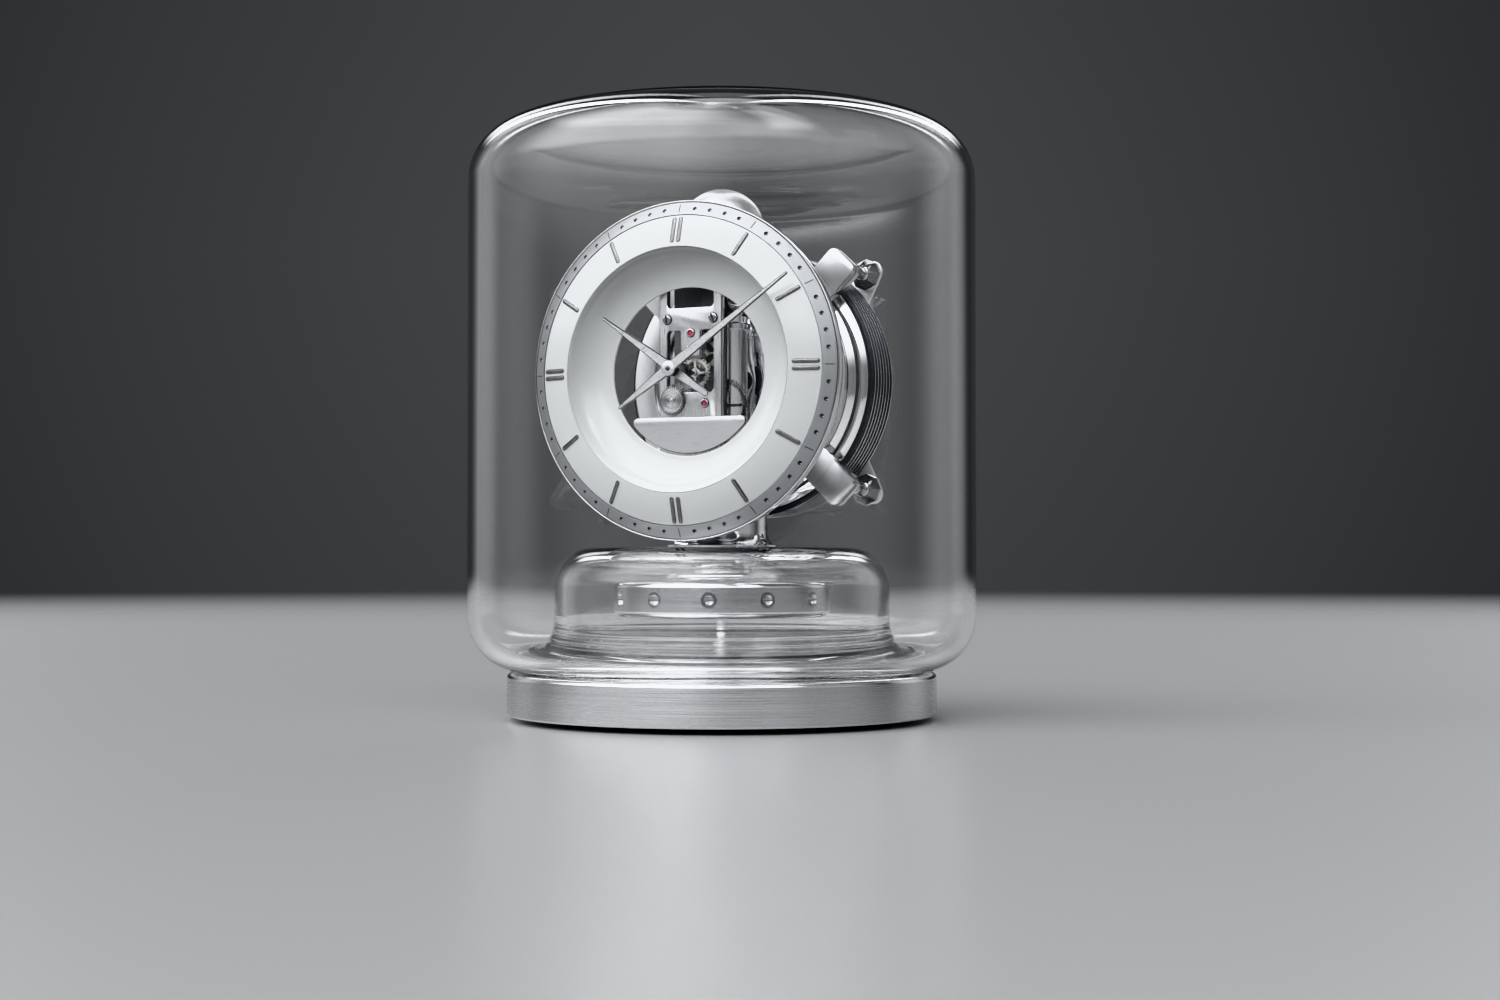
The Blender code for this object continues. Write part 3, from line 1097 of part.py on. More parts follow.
def make_plaque():
    """Bare half-moon name plate place in the lower part of the opening."""
    back = PLATE_FRONT - GAP
    half_angle = math.degrees(math.asin(-PLAQUE_TOP / PLAQUE_RADIUS))
    outline = arc((0, 0), PLAQUE_RADIUS, 180 + half_angle, 360 - half_angle, MEDIUM_SIDES)
    plaque = sheet("plaque", outline, back - PLAQUE_THICKNESS, back, "satin_plate",
                   origin=DIAL_ORIGIN)
    rounded_edges(plaque, PLAQUE_EDGE)


def bridge(name, low, height):
    half = BRIDGE_HALF_WIDTH
    outline = rounded_box((-half, BACK_PLATE_BACK + GAP), (half, YOKE_FRONT - GAP), WINDOW_CORNER)
    sheet(name, outline, low, low + height, "brushed_steel",
          holes=[circle((0, 0), TUBE_RADIUS + GAP, MEDIUM_SIDES)], plane="XY")


def make_bridges():
    bridge("lower_bridge", LOWER_BRIDGE_LOW, LOWER_BRIDGE_HEIGHT)
    bridge("upper_bridge", UPPER_BRIDGE_LOW, BRIDGE_HEIGHT)


# Winding barrel

def make_barrel():
    origin = (0, BARREL_Y, BARREL_Z)
    ratchet_outer = RATCHET_INNER_X + RATCHET_THICKNESS
    arbor_inner = BARREL_ARBOR_RADIUS + GAP
    bracket_low = BARREL_OUTER_X + RUNNING
    bracket_high = bracket_low + BARREL_BRACKET_THICKNESS
    teeth = toothed(RATCHET_TEETH, RATCHET_RADIUS - RATCHET_DEPTH / 2, RATCHET_DEPTH / 2)
    union_of("ratchet_wheel", [
        sheet_bm(teeth, (), RATCHET_INNER_X, ratchet_outer, "YZ"),
        rod_bm(BARREL_ARBOR_RADIUS, RATCHET_INNER_X - GAP, bracket_low - GAP, "X")],
        "dark_steel", origin)
    turned("winding_barrel", [
        (arbor_inner, BARREL_INNER_X), (BARREL_RADIUS, BARREL_INNER_X),
        (BARREL_RADIUS, BARREL_OUTER_X), (arbor_inner, BARREL_OUTER_X)], "polished_steel",
        origin, "X")
    half = BARREL_BRACKET_HALF_WIDTH
    low = UPPER_BRIDGE_LOW - BARREL_Z
    rise = low + BRIDGE_HEIGHT
    plate = rounded_box((-half, -half), (half, rise), BARREL_BRACKET_CORNER)
    arm = box_bm((BRIDGE_HALF_WIDTH + GAP, -half, low),
                 ((bracket_low + bracket_high) / 2, half, rise))
    foot = box_bm((BRIDGE_HALF_WIDTH + GAP, -half / 2, low),
                  (bracket_low, half + BARREL_FOOT_REACH, rise))
    union_of("barrel_bracket", [sheet_bm(plate, (), bracket_low, bracket_high, "YZ"), arm, foot],
             "brushed_steel", origin)


def chain_z():
    return BARREL_Z - BARREL_RADIUS - GAP - CHAIN_THICKNESS / 2


def chain_x():
    return (BARREL_INNER_X + BARREL_OUTER_X) / 2


def make_chain():
    """Flat link chain from under the barrel back to the capsule's push plate."""
    start = BARREL_Y
    end = BELLOWS_FRONT - PUSH_PLATE_THICKNESS - 2 * GAP
    count = round((end - start) / CHAIN_LINK)
    link = (end - start) / count
    half = CHAIN_WIDTH / 2
    waist = half * CHAIN_WAIST_SHARE
    outline = []
    for side in (1, -1):
        for i in range(count):
            at = start + link * i if side > 0 else end - link * i
            outline.append((side * waist, at))
            outline.append((side * half, at + side * link / 2))
    outline.insert(2 * count, (waist, end))
    outline.append((-waist, start))
    sheet("winding_chain", outline, -CHAIN_THICKNESS / 2, CHAIN_THICKNESS / 2, "dark_steel",
          plane="XY", origin=(chain_x(), 0, chain_z()))


# Capsule

def make_capsule():
    pitch = (DRUM_BACK - DRUM_FRONT) / (2 * DRUM_RIBS)
    outside = []
    for index in range(2 * DRUM_RIBS + 1):
        radius = DRUM_RADIUS + (DRUM_RIB if index % 2 else -DRUM_RIB)
        outside.append((radius, DRUM_FRONT + pitch * index))
    inner = DRUM_RADIUS - DRUM_WALL - DRUM_RIB
    turned("capsule_drum", [
        (0, DRUM_BACK - DRUM_WALL), (inner, DRUM_BACK - DRUM_WALL), (inner, DRUM_FRONT)]
        + outside + [(0, DRUM_BACK)], "dark_steel", DIAL_ORIGIN, "Y", LARGE_SIDES)

    back = DRUM_FRONT - GAP
    wall = (DISH_RADIUS, back - DISH_SHEET)
    dish = turned("capsule_dish", [
        (DISH_RADIUS, back), wall, (DISH_FLAT, DISH_FLOOR), (DISH_HOLE, DISH_FLOOR),
        (DISH_HOLE, DISH_FLOOR + DISH_SHEET), (DISH_FLAT, DISH_FLOOR + DISH_SHEET),
        (DISH_RADIUS - DISH_SHEET, back)], "polished_steel", DIAL_ORIGIN, "Y", LARGE_SIDES)
    cut(dish, "dish_chain_hole",
        rod_bm(CHAIN_HOLE, DISH_FLOOR - OVERRUN, DISH_FLOOR + DISH_SHEET + OVERRUN, "Y"),
        (chain_x(), 0, chain_z()))

    folds = []
    bellows_back = DRUM_BACK - DRUM_WALL - GAP
    step = (bellows_back - BELLOWS_FRONT) / (2 * BELLOWS_FOLDS)
    for index in range(2 * BELLOWS_FOLDS + 1):
        radius = BELLOWS_RADIUS - (BELLOWS_FOLD if index % 2 else 0)
        folds.append((radius, BELLOWS_FRONT + step * index))
    turned("bellows", [(0, BELLOWS_FRONT)] + folds + [(0, bellows_back)], "satin_plate",
           DIAL_ORIGIN, "Y", MEDIUM_SIDES)
    turned("push_plate", [
        (0, BELLOWS_FRONT - GAP - PUSH_PLATE_THICKNESS),
        (PUSH_PLATE_RADIUS, BELLOWS_FRONT - GAP - PUSH_PLATE_THICKNESS),
        (PUSH_PLATE_RADIUS, BELLOWS_FRONT - GAP), (0, BELLOWS_FRONT - GAP)],
        "brushed_steel", DIAL_ORIGIN, "Y", MEDIUM_SIDES)


def lug_outline(root):
    """Outline of a lug along +Z from its root, round cornered at the outer end."""
    half = LUG_HALF_WIDTH
    outline = [(-half, root), (half, root)]
    tip = LUG_REACH - LUG_CORNER
    outline += arc((half - LUG_CORNER, tip), LUG_CORNER, 0, 90, CORNER_STEPS)
    outline += arc((LUG_CORNER - half, tip), LUG_CORNER, 90, 180, CORNER_STEPS)
    return outline


def arm_bm():
    """Arm between the yoke ring and a lug, a little inside the faces of both."""
    half = LUG_HALF_WIDTH - GAP
    return box_bm((-half, YOKE_FRONT + GAP, (YOKE_INNER + YOKE_OUTER) / 2),
                  (half, YOKE_FRONT + YOKE_THICKNESS - GAP, LUG_REACH - LUG_CORNER))


def make_yoke():
    """Ring behind the movement with four lugs and the posts that clamp the capsule."""
    back = YOKE_FRONT + YOKE_THICKNESS
    yoke = turned("capsule_yoke", [
        (YOKE_INNER, YOKE_FRONT), (YOKE_OUTER, YOKE_FRONT), (YOKE_OUTER, back),
        (YOKE_INNER, back)], "brushed_steel", DIAL_ORIGIN, "Y", LARGE_SIDES)
    lug_back = YOKE_FRONT + LUG_THICKNESS
    nut_front = DRUM_BACK - NUT_LENGTH - NUT_COLLAR
    for index, degrees in enumerate(LUG_ANGLES):
        name = f"lug_{index + 1}"
        block = sheet_bm(lug_outline(DISH_RADIUS + RUNNING), (), YOKE_FRONT, lug_back, "XZ")
        for part, shape in (("arm", arm_bm()), ("block", block)):
            lug = cutter(f"{name}_{part}", shape, DIAL_ORIGIN)
            lug.rotation_euler = (0, math.radians(degrees), 0)
            combine(yoke, lug, "UNION")
        x, z = clock_point(POST_CIRCLE, degrees)
        post = cutter(name + "_post", rod_bm(POST_RADIUS, lug_back - OVERRUN, nut_front - GAP,
                                             "Y"), at_dial((x, z)))
        combine(yoke, post, "UNION")


def nut_bm():
    """Fluted cone with a plain collar, opening towards the back."""
    back = DRUM_BACK
    front = back - NUT_LENGTH
    count = NUT_FLUTES * NUT_FLUTE_SIDES
    rings = []
    for radius, depth, flute in ((NUT_SMALL, front - NUT_COLLAR, 0), (NUT_SMALL, front, 0),
                                 (NUT_LARGE, back - NUT_COLLAR, NUT_FLUTE_DEPTH_SHARE),
                                 (NUT_LARGE, back, NUT_FLUTE_DEPTH_SHARE)):
        rings.append([(radius * (1 - flute + flute * math.cos(NUT_FLUTES * a)), depth, a)
                      for a in (math.tau * i / count for i in range(count))])
    bm = bmesh.new()
    loops = [[bm.verts.new((r * math.cos(a), y, r * math.sin(a))) for r, y, a in ring]
             for ring in rings]
    for first, second in zip(loops, loops[1:]):
        for i in range(count):
            j = (i + 1) % count
            bm.faces.new((first[i], first[j], second[j], second[i]))
    bm.faces.new(loops[0])
    bm.faces.new(loops[-1][::-1])
    return bm


def make_clamps():
    for index, degrees in enumerate(LUG_ANGLES):
        spot = at_dial(clock_point(POST_CIRCLE, degrees))
        place(f"thumb_nut_{index + 1}", to_mesh(nut_bm()), spot, "polished_steel")

    low = DRUM_BACK + GAP
    outline = []
    outer = EAR_RING_OUTER
    root = math.degrees(math.asin(EAR_HALF_WIDTH / outer))
    tip = EAR_HALF_WIDTH / 2
    quarter = 180 / len(LUG_ANGLES)
    for degrees in LUG_ANGLES:
        middle = outline_angle(degrees) % 360
        x, z = clock_point(EAR_REACH - tip, degrees)
        outline.append((middle, arc((0, 0), outer, middle - quarter, middle - root, FILLET_STEPS)
                        + arc((x, z), tip, middle - EAR_TIP_SWING, middle + EAR_TIP_SWING,
                              FILLET_STEPS)
                        + arc((0, 0), outer, middle + root, middle + quarter, FILLET_STEPS)[:-1]))
    points = [point for middle, run in sorted(outline) for point in run]
    sheet("ear_plate", points, low, low + EAR_THICKNESS, "polished_steel",
          holes=[circle((0, 0), EAR_RING_INNER, LARGE_SIDES)], origin=DIAL_ORIGIN)


def main():
    clear_scene()
    make_base()
    make_lock()
    make_dome()
    make_bell()
    make_column()
    make_cap()
    make_balance()
    make_dial()
    make_hands()
    make_train()
    make_pallets()
    make_plates()
    make_screws()
    make_jewels()
    make_plaque()
    make_bridges()
    make_barrel()
    make_chain()
    make_capsule()
    make_yoke()
    make_clamps()


main()
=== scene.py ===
"""Looks of the atmospheric clock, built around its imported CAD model.

Metres, +Z up, in the model's own frame: the clock stands on z = 0 and its dial faces -Y.
"""
import math

import bmesh
import bpy
from mathutils import Matrix, Vector
from mathutils.geometry import tessellate_polygon


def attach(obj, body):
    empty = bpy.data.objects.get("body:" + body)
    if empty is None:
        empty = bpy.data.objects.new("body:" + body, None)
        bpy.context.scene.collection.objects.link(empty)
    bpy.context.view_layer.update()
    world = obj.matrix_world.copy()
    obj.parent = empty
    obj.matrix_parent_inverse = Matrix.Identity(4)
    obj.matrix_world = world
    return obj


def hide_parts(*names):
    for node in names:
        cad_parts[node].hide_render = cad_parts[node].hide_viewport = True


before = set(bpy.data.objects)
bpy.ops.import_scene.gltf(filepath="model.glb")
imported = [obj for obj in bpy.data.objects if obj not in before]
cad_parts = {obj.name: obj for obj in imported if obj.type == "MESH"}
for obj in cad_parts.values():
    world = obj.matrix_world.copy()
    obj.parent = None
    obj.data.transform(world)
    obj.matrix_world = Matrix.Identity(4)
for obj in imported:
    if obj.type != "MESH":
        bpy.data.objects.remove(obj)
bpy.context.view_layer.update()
scene = bpy.context.scene
MM = 0.001

# Shared
GAP = 0.3 * MM
SIDES = 160
SMALL_SIDES = 32
SMOOTH_ANGLE = math.radians(35)
FINE_EDGE = 0.25 * MM

# Base
BASE_RADIUS = 91.5 * MM
BASE_TOP = 20.3 * MM
BASE_LOW = 2.5 * MM
BASE_BORE = 70.0 * MM
BASE_CHAMFER = 0.8 * MM
BASE_RIM_WIDTH = 2.5 * MM
BASE_RIM_HEIGHT = 2.1 * MM
COVER_RADIUS = 84.0 * MM
COVER_THICKNESS = 2.5 * MM
FLOOR_TOP = 22.3 * MM
LOCK_PIN_RADIUS = 2.5 * MM

# Glass
DOME_RADIUS = 108.5 * MM
DOME_WALL = 5.0 * MM
DOME_TOP = 253.2 * MM
DOME_FILLET = 24.4 * MM
DOME_LIP_INNER = 83.0 * MM
GLASS_LOW = BASE_TOP + GAP
BELL_RADIUS = 71.6 * MM
BELL_TOP = 73.1 * MM
BELL_WALL = 4.8 * MM
BELL_CORNER = 16.5 * MM
BELL_FLARE_TOP = 44.5 * MM
BELL_FLARE_WIDTH = 8.9 * MM
BELL_FLARE_HEIGHT = 18.0 * MM
BELL_SKIRT_WIDTH = 6.0 * MM
BELL_HOLE = 6.5 * MM
RIPPLES = 5
RIPPLE_DEPTH = 0.22 * MM

# Column, suspension and balance
FLANGE_RADIUS = 24.4 * MM
NECK_RADIUS = 19.5 * MM
NECK_FLARE_HEIGHT = 7.0 * MM
NECK_TOP = 87.0 * MM
NECK_BORE = 3.5 * MM
SPIGOT_LOW = 60.3 * MM
TUBE_SOCKET = 77.0 * MM
CLAMP_MIDDLE = 62.3 * MM
CLAMP_HALF = 2.3 * MM
CLAMP_COLLAR = 12.0 * MM
TUBE_RADIUS = 11.0 * MM
TUBE_LOW = 77.3 * MM
TUBE_TOP = 204.0 * MM
TUBE_WALL = 2.0 * MM
TUBE_BAND_RADIUS = 12.2 * MM
TUBE_BAND = (166.0 * MM, 169.0 * MM)
CAP_RADIUS = 18.0 * MM
CAP_LOW = 198.3 * MM
CAP_TOP = 227.0 * MM
CAP_DOME_HEIGHT = 17.0 * MM
CAP_BORE = 4.3 * MM
CAP_CEILING = 221.0 * MM
CAP_PINHOLE = (-6.5 * MM, -12.0 * MM, 221.0 * MM)
CAP_PINHOLE_RADIUS = 1.1 * MM
BALANCE_RADIUS = 46.0 * MM
BALANCE_INNER = 38.0 * MM
BALANCE_LOW = 44.0 * MM
BALANCE_HIGH = 59.0 * MM
BALANCE_EDGE = 2.6 * MM
CUP_COUNT = 12
CUP_RADIUS = 3.4 * MM
CUP_SET_OUT = 0.9 * MM
CUP_PHASE = 19.7

# Dial
DIAL_Z = 146.1 * MM
DIAL_ORIGIN = Vector((0, 0, DIAL_Z))
BEZEL_RADIUS = 70.5 * MM
BEZEL_BACK = -34.0 * MM
BEZEL_FRONT = -38.2 * MM
BEZEL_SEAT = -37.0 * MM
BEZEL_INNER = 58.0 * MM
BEZEL_LIP = 0.6 * MM
MINUTE_INNER = 64.3 * MM
MINUTE_FRONT = -40.9 * MM
CHAPTER_OUTER = 64.0 * MM
CHAPTER_OUTER_Y = -40.7 * MM
CREST_RADIUS = 50.8 * MM
CREST_Y = -44.4 * MM
OPENING_RADIUS = 35.1 * MM
OPENING_Y = -32.4 * MM
DIAL_SHEET = 1.1 * MM
BATON_INNER = 52.3 * MM
BATON_OUTER = 63.4 * MM
BATON_WIDTH = 1.65 * MM
BATON_RISE = 0.45 * MM
# The margin here and the rise below set the dark slab under each baton: a painted shade outline
BATON_SHADE_MARGIN = 0.14 * MM
BATON_SPACING = 2.9 * MM
BATON_SHADE_RISE = 0.08 * MM
BAR_SINK = 0.15 * MM
BAR_SIDE = 0.45            # shares of a bar's rise
BAR_SHOULDER = 0.8
BAR_TOP = (0.72, 0.985)    # its shoulder's width and length against its foot's
DOT_CIRCLE = 66.9 * MM
DOT_RADIUS = 0.95 * MM
DOT_LIFT = 0.25 * MM
# Size and place of the bright ball in each dimple: a placed highlight
HIGHLIGHT_PIN_RADIUS = 0.26 * MM
HIGHLIGHT_PIN_OFFSET = (0.3 * MM, 0.42 * MM, -0.35 * MM)
DASH_INNER = 64.9 * MM
DASH_OUTER = 69.0 * MM
DASH_WIDTH = 0.4 * MM
DASH_RISE = 0.12 * MM
FRAME_INNER = 48.0 * MM
FRAME_OUTER = 66.0 * MM
FRAME_BACK = -30.3 * MM

# Hands
MINUTE_ANGLE = 55.4
HOUR_ANGLE = 304.6
HAND_WIDTH = 4.6 * MM
HAND_TIP_WIDTH = 1.2 * MM
HAND_THICKNESS = 0.8 * MM
HAND_SLOPE = 0.42 * MM
HUB_RADIUS = 3.3 * MM
HUB_CROWN = 0.15 * MM
MINUTE_HAND = (64.2 * MM, 28.0 * MM, 1.5 * MM)    # tip, tail and tail's width
MINUTE_HAND_FRONT = -49.9 * MM
HOUR_HAND = (39.6 * MM, 19.5 * MM, 2.6 * MM)
HOUR_HAND_FRONT = -46.4 * MM
PIPE_INNER = 1.5 * MM
PIPE_OUTER = 2.3 * MM
PIPE_BACK = -38.0 * MM
HAND_NUT = ((0, -50.35 * MM), (1.0 * MM, -50.2 * MM), (1.15 * MM, -49.7 * MM), (0, -49.7 * MM))

# Movement
PLATE_HALF_WIDTH = 14.5 * MM
PLATE_HALF_HEIGHT = 52.0 * MM
PLATE_FRONT = -30.0 * MM
PLATE_BACK = -27.0 * MM
WINDOW_HALF = 10.7 * MM
WINDOW_CORNER = 1.6 * MM
UPPER_WINDOW = (27.0 * MM, 41.0 * MM)
LOWER_WINDOW = (-8.3 * MM, 17.6 * MM)
TONGUE_HALF = 4.6 * MM
TONGUE_LOW = 6.5 * MM
WELL_RADIUS = 6.05 * MM
SCREW_ROW = 22.3 * MM
SCREW_RADIUS = 1.9 * MM
SCREW_SPAN = (-31.2 * MM, -30.2 * MM)
SCREW_SLOT = (3.0 * MM, 0.36 * MM, 0.6 * MM)      # half length, half width and depth
SCREW_SEAT = (0.35 * MM, 0.3 * MM)                # margin and depth
JEWEL_RADIUS = 1.5 * MM
JEWEL_FRONT = -30.8 * MM
JEWEL_BACK = -30.1 * MM
JEWEL_SEAT = (0.55 * MM, 0.2 * MM)
SETTING_BACK = -29.9 * MM
PLAQUE_SPAN = (-31.5 * MM, -30.3 * MM)
PLAQUE_RADIUS = 34.0 * MM
PLAQUE_TOP = -18.6 * MM
PLAQUE_CORNER = 2.3 * MM
MODULE = 0.5 * MM
MOTION_CENTRE = (-8.079 * MM, -11.799 * MM)
THIRD_CENTRE = (2.499 * MM, 8.438 * MM)
ESCAPE_CENTRE = (0.281 * MM, 16.436 * MM)
GREAT_CENTRE = (6.834 * MM, -13.128 * MM)
MOTION_TEETH, CENTRE_TEETH, THIRD_TEETH, GREAT_TEETH = 30, 26, 24, 46
PINION_TEETH, CANNON_TEETH, ESCAPE_TEETH = 8, 12, 15
CENTRE_Y, THIRD_Y, ESCAPE_Y, GREAT_Y = -25.6 * MM, -21.6 * MM, -18.6 * MM, -13.6 * MM
WHEEL_THICKNESS = 1.0 * MM
WHEEL_BORE = 1.3 * MM
TOOTH_DEPTH = 0.4 * MM
ARBOR_RADIUS = 1.0 * MM
ARBOR_SPAN = (-26.7 * MM, -16.8 * MM)
ESCAPE_ARBOR_RADIUS = 0.7 * MM
MOTION_ARBOR_FRONT = -31.6 * MM
MOTION_DISC = (36, 5.65 * MM, 0.65 * MM)          # teeth, pitch radius and depth
MOTION_DISC_SPAN = (-31.3 * MM, -30.3 * MM)
CANNON_RADIUS = 2.85 * MM
CANNON_DEPTH = 0.35 * MM
CANNON_SPAN = (-36.8 * MM, -33.2 * MM)
ESCAPE_TOOTH = ((0.0, 4.2 * MM), (0.12, 4.15 * MM), (0.25, 3.1 * MM), (0.75, 3.1 * MM))
CENTRE_SPOKES = (2.0 * MM, 4.9 * MM, 4, 0.9 * MM)    # inner, outer, count and width
THIRD_SPOKES = (1.9 * MM, 4.6 * MM, 4, 0.9 * MM)
ESCAPE_SPOKES = (1.2 * MM, 2.5 * MM, 4, 0.6 * MM)
MOTION_WAY, THIRD_WAY, ESCAPE_WAY, GREAT_WAY = 214.4, 16.5, -15.5, 152.5    # from its driver

# Bridges and winding barrel
BRIDGE_HALF = 16.0 * MM
BRIDGE_FRONT = -14.2 * MM
BRIDGE_BACK = 14.7 * MM
LOWER_BRIDGE = (87.3 * MM, 104.8 * MM)
UPPER_BRIDGE = (190.0 * MM, 198.0 * MM)
BRIDGE_EDGE = 0.7 * MM
BARREL_ORIGIN = Vector((0, -16.0 * MM, 179.0 * MM))
BARREL_RADIUS = 7.6 * MM
BARREL_SPAN = (13.3 * MM, 22.0 * MM)
RATCHET_SPAN = (10.4 * MM, 13.0 * MM)
RATCHET_RADIUS = 9.4 * MM
RATCHET_TEETH = 48
RATCHET_DEPTH = 0.3 * MM
BARREL_BORE = 1.8 * MM
BARREL_EDGE = 0.5 * MM
BARREL_ARBOR_RADIUS = 1.5 * MM
BARREL_ARBOR_SPAN = (10.1 * MM, 22.2 * MM)

# Capsule
DRUM_RADIUS = 58.5 * MM
DRUM_RIB = 0.8 * MM
DRUM_RIBS = 7
DRUM_STEPS = (40.0 * MM, 30.0 * MM, 20.0 * MM, 10.0 * MM)
DRUM_STEP_DEPTH = 0.7 * MM
DRUM_WALL = 2.8 * MM
DRUM_END = 2.0 * MM
DRUM_FRONT = 27.5 * MM
DRUM_BACK = 51.0 * MM
DISH_RADIUS = 57.0 * MM
DISH_FLOOR = 19.8 * MM
DISH_FLAT = 40.0 * MM
DISH_GROOVE = (52.2 * MM, 53.4 * MM)
DISH_GROOVE_DEPTH = 0.7 * MM
DISH_SHEET = 1.2 * MM
DISH_BORE = 5.0 * MM
CHAIN_HOLE = (17.65 * MM, 170.6 * MM - DIAL_Z)
CHAIN_HOLE_RADIUS = 2.6 * MM
DISH_SCREW_CIRCLE = 47.0 * MM
DISH_SCREW_RADIUS = 1.3 * MM
YOKE_INNER = 41.0 * MM
YOKE_OUTER = 51.0 * MM
YOKE_FRONT = 15.0 * MM
YOKE_THICKNESS = 4.0 * MM
YOKE_EDGE = 0.6 * MM
LUG_REACH = 72.0 * MM
LUG_HALF_WIDTH = 7.75 * MM
LUG_CORNER = 3.4 * MM
LUG_EDGE = 1.0 * MM
LUG_BACK = 23.0 * MM
POST_CIRCLE = 66.9 * MM
POST_RADIUS = 2.4 * MM
NUT_FRONT = 42.0 * MM
NUT_SMALL = 3.4 * MM
NUT_LARGE = 7.1 * MM
NUT_FACETS = 8
EAR_FRONT = 51.3 * MM
EAR_BACK = 53.3 * MM
EAR_INNER = 44.0 * MM
EAR_OUTER = 58.0 * MM
EAR_REACH = 74.0 * MM
EAR_HALF_WIDTH = 9.0 * MM
EAR_EDGE = 0.4 * MM
LUG_ANGLES = (45, 135, 225, 315)

# Camera, as it stood for the photograph
CAMERA_AZIMUTH = 26.26
CAMERA_DISTANCE = 0.925
CAMERA_HEIGHT = 67.8 * MM
CAMERA_PITCH = 1.60
CAMERA_YAW = 0.742
CAMERA_LENS = 51.78

# Studio: lamps as azimuth from the front towards +X, elevation, size, softness and strength
STUDIO_BASE = 0.035
STUDIO_COLOUR = (0.96, 0.98, 1.0, 1.0)
STUDIO_LAMPS = (
    (-153.7, 8, (40, 44), (50, 50), 0.07),    # backdrop's glow
    (-30, 4, (120, 26), (80, 20), 0.28),      # low front fill
    (-24, 30, (92, 34), (40, 10), 3.5),       # front wall
    (46, 31, (36, 30), (24, 10), 2.2),        # right fill
    (-26, 60, (100, 32), (50, 8), 4.6),       # key
    (86, 12, (50, 44), (40, 40), 0.4),        # right wall
    (62, 55, (22, 44), (10, 8), 3.0),         # right strip
    (148, 12, (30, 44), (24, 36), 0.6),       # rear right wall
    (-104, 12, (26, 44), (24, 36), 0.5),      # rear left wall
    (183, 50, (8, 56), (4, 8), 4.0),          # rear right
    (-131, 50, (8, 56), (4, 8), 4.0),         # rear left
    (-160, 76, (60, 16), (20, 10), 1.2),      # rear top
)
FLOOR_COLOUR = (0.42, 0.42, 0.42)
FLOOR_FADE = (1.3, 4.0)
FLOOR_DEPTH = 0.02

# Grain of the metals
GRAIN_NOISE = (("Scale", 1.0), ("Detail", 3.0), ("Roughness", 0.6))
GRAIN_RANGE = (0.3, 0.7)
GRAIN_SHADE = 0.86


# Materials

def new_material(name, colour, roughness, metallic=0.0, **sockets):
    """Principled material; uniform values sit on the shader's own sockets."""
    made = bpy.data.materials.new(name)
    made.use_nodes = True
    shader = made.node_tree.nodes["Principled BSDF"]
    shader.inputs["Base Color"].default_value = (*colour, 1.0)
    shader.inputs["Roughness"].default_value = roughness
    shader.inputs["Metallic"].default_value = metallic
    for socket, value in sockets.items():
        shader.inputs[socket.replace("_", " ")].default_value = value
    return made


def node(made, kind, inputs=(), **settings):
    """Add a node; inputs are (socket, value or output) pairs."""
    added = made.node_tree.nodes.new("ShaderNode" + kind)
    for key, value in settings.items():
        setattr(added, key, value)
    for socket, value in inputs:
        if isinstance(value, bpy.types.NodeSocket):
            made.node_tree.links.new(value, added.inputs[socket])
        else:
            added.inputs[socket].default_value = value
    return added


def maths(made, operation, first, second=0.0):
    return node(made, "Math", [(0, first), (1, second)], operation=operation).outputs[0]


def place_vector(made, centre=(0, 0, 0)):
    """Position on the piece, measured from the centre its grain runs round."""
    place = node(made, "TexCoord").outputs["Object"]
    return node(made, "VectorMath", [(0, place), (1, tuple(centre))],
                operation="SUBTRACT").outputs[0]


def grain_round(made, centre, axis, across, along):
    """Noise in circles round an axis, as a lathe leaves it."""
    parts = node(made, "SeparateXYZ", [(0, place_vector(made, centre))]).outputs
    order = {"Z": (0, 1, 2), "Y": (0, 2, 1), "X": (1, 2, 0)}[axis]
    u, v, w = (parts[i] for i in order)
    radius = maths(made, "SQRT", maths(made, "ADD", maths(made, "MULTIPLY", u, u),
                                       maths(made, "MULTIPLY", v, v)))
    angle = maths(made, "ARCTAN2", v, u)
    vector = node(made, "CombineXYZ", [
        (0, maths(made, "MULTIPLY", radius, across)), (1, maths(made, "MULTIPLY", w, across)),
        (2, maths(made, "MULTIPLY", maths(made, "COSINE", angle), along))]).outputs[0]
    turn = maths(made, "MULTIPLY", maths(made, "SINE", angle), along)
    return node(made, "TexNoise", [("Vector", vector), ("W", turn), *GRAIN_NOISE],
                noise_dimensions="4D").outputs["Fac"]


def grain_straight(made, x, y=None, z=None):
    """Noise drawn out along the directions with a small scale."""
    vector = node(made, "VectorMath", [(0, place_vector(made)), (1, (x, y or x, z or x))],
                  operation="MULTIPLY").outputs[0]
    return node(made, "TexNoise", [("Vector", vector), *GRAIN_NOISE]).outputs["Fac"]


def drive(made, grain, rough_low, rough_high, bump, distance=0.00005):
    """Let a grain set roughness and a fine bump."""
    shader = made.node_tree.nodes["Principled BSDF"]
    spread = node(made, "MapRange", [
        ("Value", grain), ("From Min", GRAIN_RANGE[0]), ("From Max", GRAIN_RANGE[1]),
        ("To Min", rough_low), ("To Max", rough_high)]).outputs[0]
    made.node_tree.links.new(spread, shader.inputs["Roughness"])
    relief = node(made, "Bump", [("Height", grain), ("Strength", bump), ("Distance", distance)])
    made.node_tree.links.new(relief.outputs[0], shader.inputs["Normal"])
    return made


def tint(made, grain, colour):
    """Let a grain darken the colour a little."""
    ramp = node(made, "ValToRGB", [(0, grain)])
    for stop, place, share in zip(ramp.color_ramp.elements, GRAIN_RANGE, (GRAIN_SHADE, 1.0)):
        stop.position = place
        stop.color = (*(c * share for c in colour), 1)
    shader = made.node_tree.nodes["Principled BSDF"]
    made.node_tree.links.new(ramp.outputs[0], shader.inputs["Base Color"])
    return made


